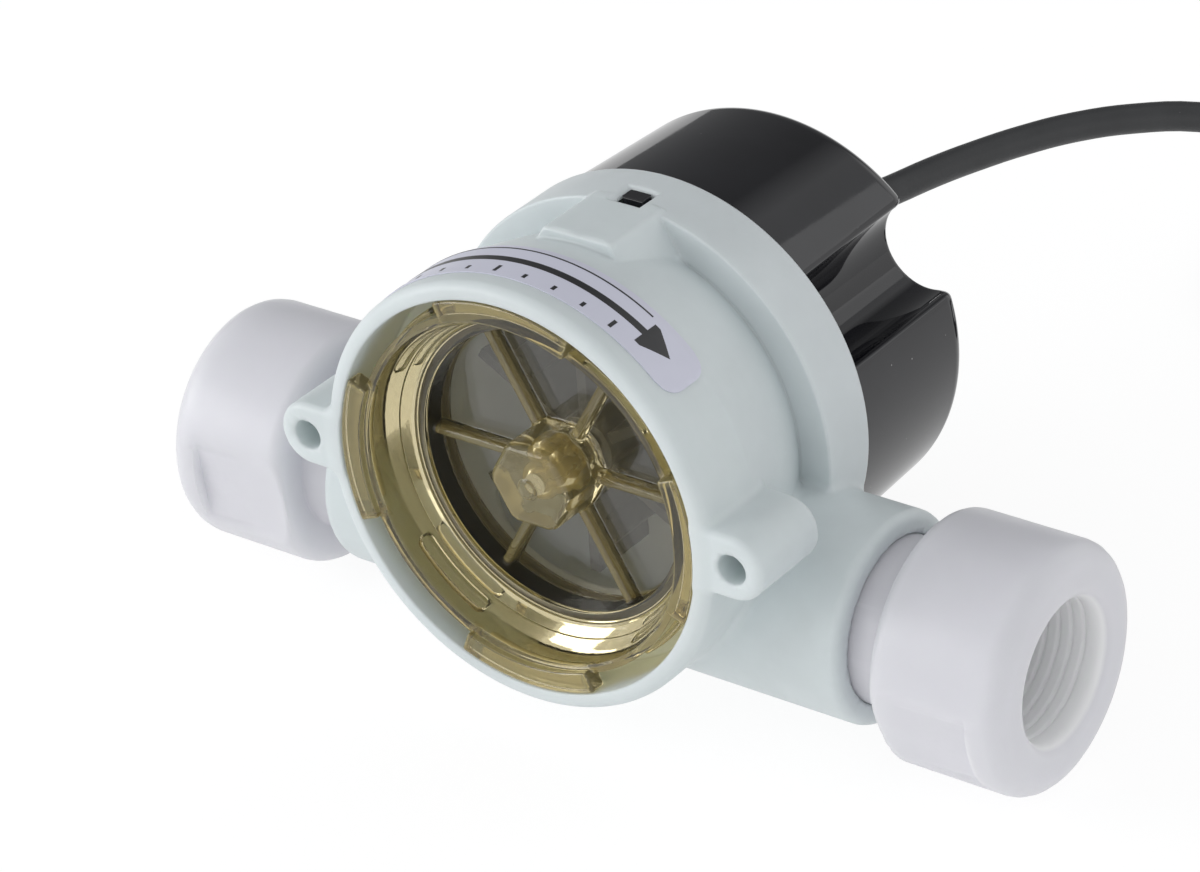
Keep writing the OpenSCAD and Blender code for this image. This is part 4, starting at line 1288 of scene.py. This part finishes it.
def adapter_piece(name, side, flat_turn, s):
    sides = 160
    a = np.linspace(0, 2 * math.pi, sides, endpoint=False)
    rows = adapter_rows(s)
    flat_from, flat_to = s.head_in - 0.5, s.head_in + 14.05
    first_thread, last_thread = s.head_out - 2.0, s.head_out - 15.3
    # Angle 0 points to the front; the flats face it after their turn downwards.
    off = a - math.radians(flat_turn)
    reach = s.flat_reach / np.maximum(np.abs(np.cos(off)), 0.2)
    points = []
    for r, x, threaded in rows:
        radius = np.full(sides, r)
        if threaded:
            phase = (x / s.pitch - side * a / (2 * math.pi)) % 1.0
            wave = np.clip((0.5 - np.abs(phase - 0.5)) * 2.6 - 0.8, 0.0, 1.0)
            fade = min(1.0, (first_thread - x) / 1.2, (x - last_thread) / 1.5)
            radius += s.thread_depth * (wave * wave * (3 - 2 * wave)) * max(fade, 0.0)
        if flat_from < x < flat_to and r > s.neck_r + 0.5:
            soft = 0.35
            h = np.clip(0.5 + (reach - radius) / (2 * soft), 0.0, 1.0)
            radius = reach * (1 - h) + radius * h - soft * h * (1 - h)
        points.append(np.stack([np.full(sides, side * x), PORT_Y - radius * np.cos(a),
                                PORT_Z - radius * np.sin(a)], axis=1))
    faces = ring_grid((len(rows), sides))
    if side > 0:
        faces = [face[::-1] for face in faces]
    piece = new_piece(name + "_moulded", np.concatenate(points), faces, replaced=(name,),
                      sharp_angle=48)
    # Mask of the bore faces that get the painted light of the bore tint.
    inner = np.array([r < s.thread_r + 0.6 and x > last_thread - 0.5 for r, x, _ in rows])
    mark_points(piece, "inner_face", np.repeat(inner, sides).astype(float))
    return piece


class FLOW_OT_adapters(bpy.types.Operator):
    """Make the two pipe adapters with wrench flats and tapped bores"""
    bl_idname = "flow.adapters"
    bl_label = "Make the adapters"

    def execute(self, context):
        s = sizes("flow_adapter")
        material = moulded_plastic("adapter_acetal", s.plastic, (0.3, 0.4), cloud=45.0,
                                   depth=0.03, subsurface=0.7,
                                   radius=(0.007, 0.0075, 0.007), inner=s.bore)
        for name, side, turn in (("inlet_adapter", -1, 7.0), ("outlet_adapter", 1, 21.0)):
            give(adapter_piece(name, side, turn, s), material)
        return {"FINISHED"}


# Label


LABEL_START, LABEL_SWEEP = 40.0, 124.0


def label_sheet(name, outline_rows, lift, thickness, s, replaced=()):
    """A thin film wrapped on the barrel from rows of (depth, first angle, last angle)."""
    body = sizes("flow_body")
    steps = 96
    points, faces = [], []
    for level in (lift, lift + thickness):
        for y, start, end in outline_rows:
            r = float(barrel_radius(np.array(y), body)) + level
            for a in np.radians(np.linspace(start, end, steps)):
                points.append((r * math.cos(a), y, r * math.sin(a)))
    rows = len(outline_rows)
    layer = rows * steps
    for i in range(rows - 1):
        for k in range(steps - 1):
            a = i * steps + k
            b, c, d = a + 1, a + steps + 1, a + steps
            faces.append((a, b, c, d))
            faces.append((layer + d, layer + c, layer + b, layer + a))
    border = ([k for k in range(steps)]
              + [i * steps + steps - 1 for i in range(1, rows)]
              + [(rows - 1) * steps + k for k in range(steps - 2, -1, -1)]
              + [i * steps for i in range(rows - 2, 0, -1)])
    for a, b in zip(border, border[1:] + border[:1]):
        faces.append((b, a, layer + a, layer + b))
    return new_piece(name, points, faces, replaced=replaced, sharp_angle=40)


class FLOW_OT_label(bpy.types.Operator):
    """Make the rounded label with a plain flow arrow and ticks"""
    bl_idname = "flow.label"
    bl_label = "Make the label"

    def execute(self, context):
        s = sizes("flow_label")
        corner = 2.9
        degree = 180.0 / math.pi / 29.45
        rows = []
        for t in np.linspace(0, 1, 25):
            y = s.front + s.width * t
            near = min(y - s.front, s.front + s.width - y)
            inset = 0.0
            if near < corner:
                inset = corner - math.sqrt(max(corner ** 2 - (corner - near) ** 2, 0.0))
            rows.append((y, LABEL_START + inset * degree,
                         LABEL_START + LABEL_SWEEP - inset * degree))
        film = label_sheet("label_film", rows, 0.01, s.thickness, s, ("label",))
        give(film, moulded_plastic("label_vinyl", s.paper, (0.32, 0.42), cloud=90.0,
                                   depth=0.02, skin=0.00001))
        ink = moulded_plastic("label_ink", (0.02, 0.02, 0.022), (0.3, 0.4), depth=0.1,
                              skin=0.00001)
        top = s.thickness + 0.015
        middle = s.front + s.width / 2
        marks = [("flow_arrow_shaft", [(middle - 0.55, 56.0, 132.0), (middle + 0.55, 56.0, 132.0)]),
                 ("flow_arrow_head", [(middle - 2.2, 54.5, 56.2), (middle - 1.1, 51.0, 56.2),
                                      (middle, 47.5, 56.2), (middle + 1.1, 51.0, 56.2),
                                      (middle + 2.2, 54.5, 56.2)])]
        marks.append(("label_line", [(s.front + s.width - 1.5, 58.0, 142.0),
                                     (s.front + s.width - 1.25, 58.0, 142.0)]))
        for i in range(9):
            at = 62.0 + 8.5 * i
            tall = 1.5 if i % 4 == 0 else 0.9
            marks.append((f"label_tick_{i}", [(s.front + 0.9, at, at + 1.0),
                                              (s.front + 0.9 + tall, at, at + 1.0)]))
        for name, mark in marks:
            give(label_sheet(name, mark, top, 0.02, s), ink)
        return {"FINISHED"}


# Inner parts


class FLOW_OT_inner_parts(bpy.types.Operator):
    """Give the rotor, seals, shaft and electronics their finishes"""
    bl_idname = "flow.inner_parts"
    bl_label = "Finish the inner parts"

    def execute(self, context):
        rubber = soft_rubber("seal_rubber", (0.012, 0.012, 0.013), (0.3, 0.45))
        steel = turned_metal("shaft_steel", (0.62, 0.62, 0.63))
        for node in ("inlet_seal", "outlet_seal"):
            give_node(node, rubber)
        give_node("rotor", moulded_plastic("rotor_plastic", (0.035, 0.037, 0.04),
                                           (0.3, 0.45), depth=0.12))
        give_node("rotor_bush", moulded_plastic("bush_acetal", (0.62, 0.60, 0.54), depth=0.04))
        give_node("rotor_magnets", turned_metal("magnet_ferrite", (0.10, 0.10, 0.11),
                                                (0.45, 0.6)))
        give_node("rotor_shaft", steel)
        for node in ("front_washer", "rear_washer"):
            give_node(node, moulded_plastic("washer_" + node, (0.7, 0.7, 0.66), depth=0.03))
        give_node("circuit_board", moulded_plastic("board_laminate", (0.01, 0.09, 0.035),
                                                   (0.25, 0.4), cloud=400.0, depth=0.25))
        give_node("board_screws", steel)
        for node in ("hall_sensor", "regulator"):
            give_node(node, moulded_plastic(node + "_epoxy", (0.02, 0.02, 0.02),
                                            (0.45, 0.6), depth=0.15))
        give_node("capacitor", moulded_plastic("capacitor_sleeve", (0.02, 0.025, 0.09),
                                               (0.2, 0.35), depth=0.1))
        give_node("resistors", moulded_plastic("resistor_ceramic", (0.05, 0.045, 0.04),
                                               (0.4, 0.6), depth=0.2))
        give_node("inner_wires", soft_rubber("inner_wire_sleeves", (0.35, 0.06, 0.04)))
        return {"FINISHED"}


# Sidebar


STEPS = [FLOW_OT_camera, FLOW_OT_stage, FLOW_OT_cable, FLOW_OT_strain_relief, FLOW_OT_body,
         FLOW_OT_lens, FLOW_OT_rear_cover, FLOW_OT_adapters, FLOW_OT_label,
         FLOW_OT_inner_parts]


class FLOW_PT_sidebar(bpy.types.Panel):
    """Steps and sizes of the water flow sensor"""
    bl_idname = "FLOW_PT_sidebar"
    bl_label = "Water flow sensor"
    bl_space_type = "VIEW_3D"
    bl_region_type = "UI"
    bl_category = "Flow sensor"

    def draw(self, context):
        for step in STEPS:
            self.layout.operator(step.bl_idname)
        for name in SETTINGS:
            box = self.layout.box()
            group = getattr(context.scene, name)
            for key in group.__annotations__:
                box.prop(group, key)


def register():
    for name, group in SETTINGS.items():
        bpy.utils.register_class(group)
        setattr(bpy.types.Scene, name, bpy.props.PointerProperty(type=group))
    for step in STEPS:
        bpy.utils.register_class(step)
    bpy.utils.register_class(FLOW_PT_sidebar)


def unregister():
    bpy.utils.unregister_class(FLOW_PT_sidebar)
    for step in reversed(STEPS):
        bpy.utils.unregister_class(step)
    for name, group in SETTINGS.items():
        delattr(bpy.types.Scene, name)
        bpy.utils.unregister_class(group)


def main():
    register()
    for step in STEPS:
        group, name = step.bl_idname.split(".")
        if getattr(getattr(bpy.ops, group), name)() != {"FINISHED"}:
            raise RuntimeError(step.bl_label + " did not finish")
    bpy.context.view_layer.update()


if __name__ == "__main__":
    main()
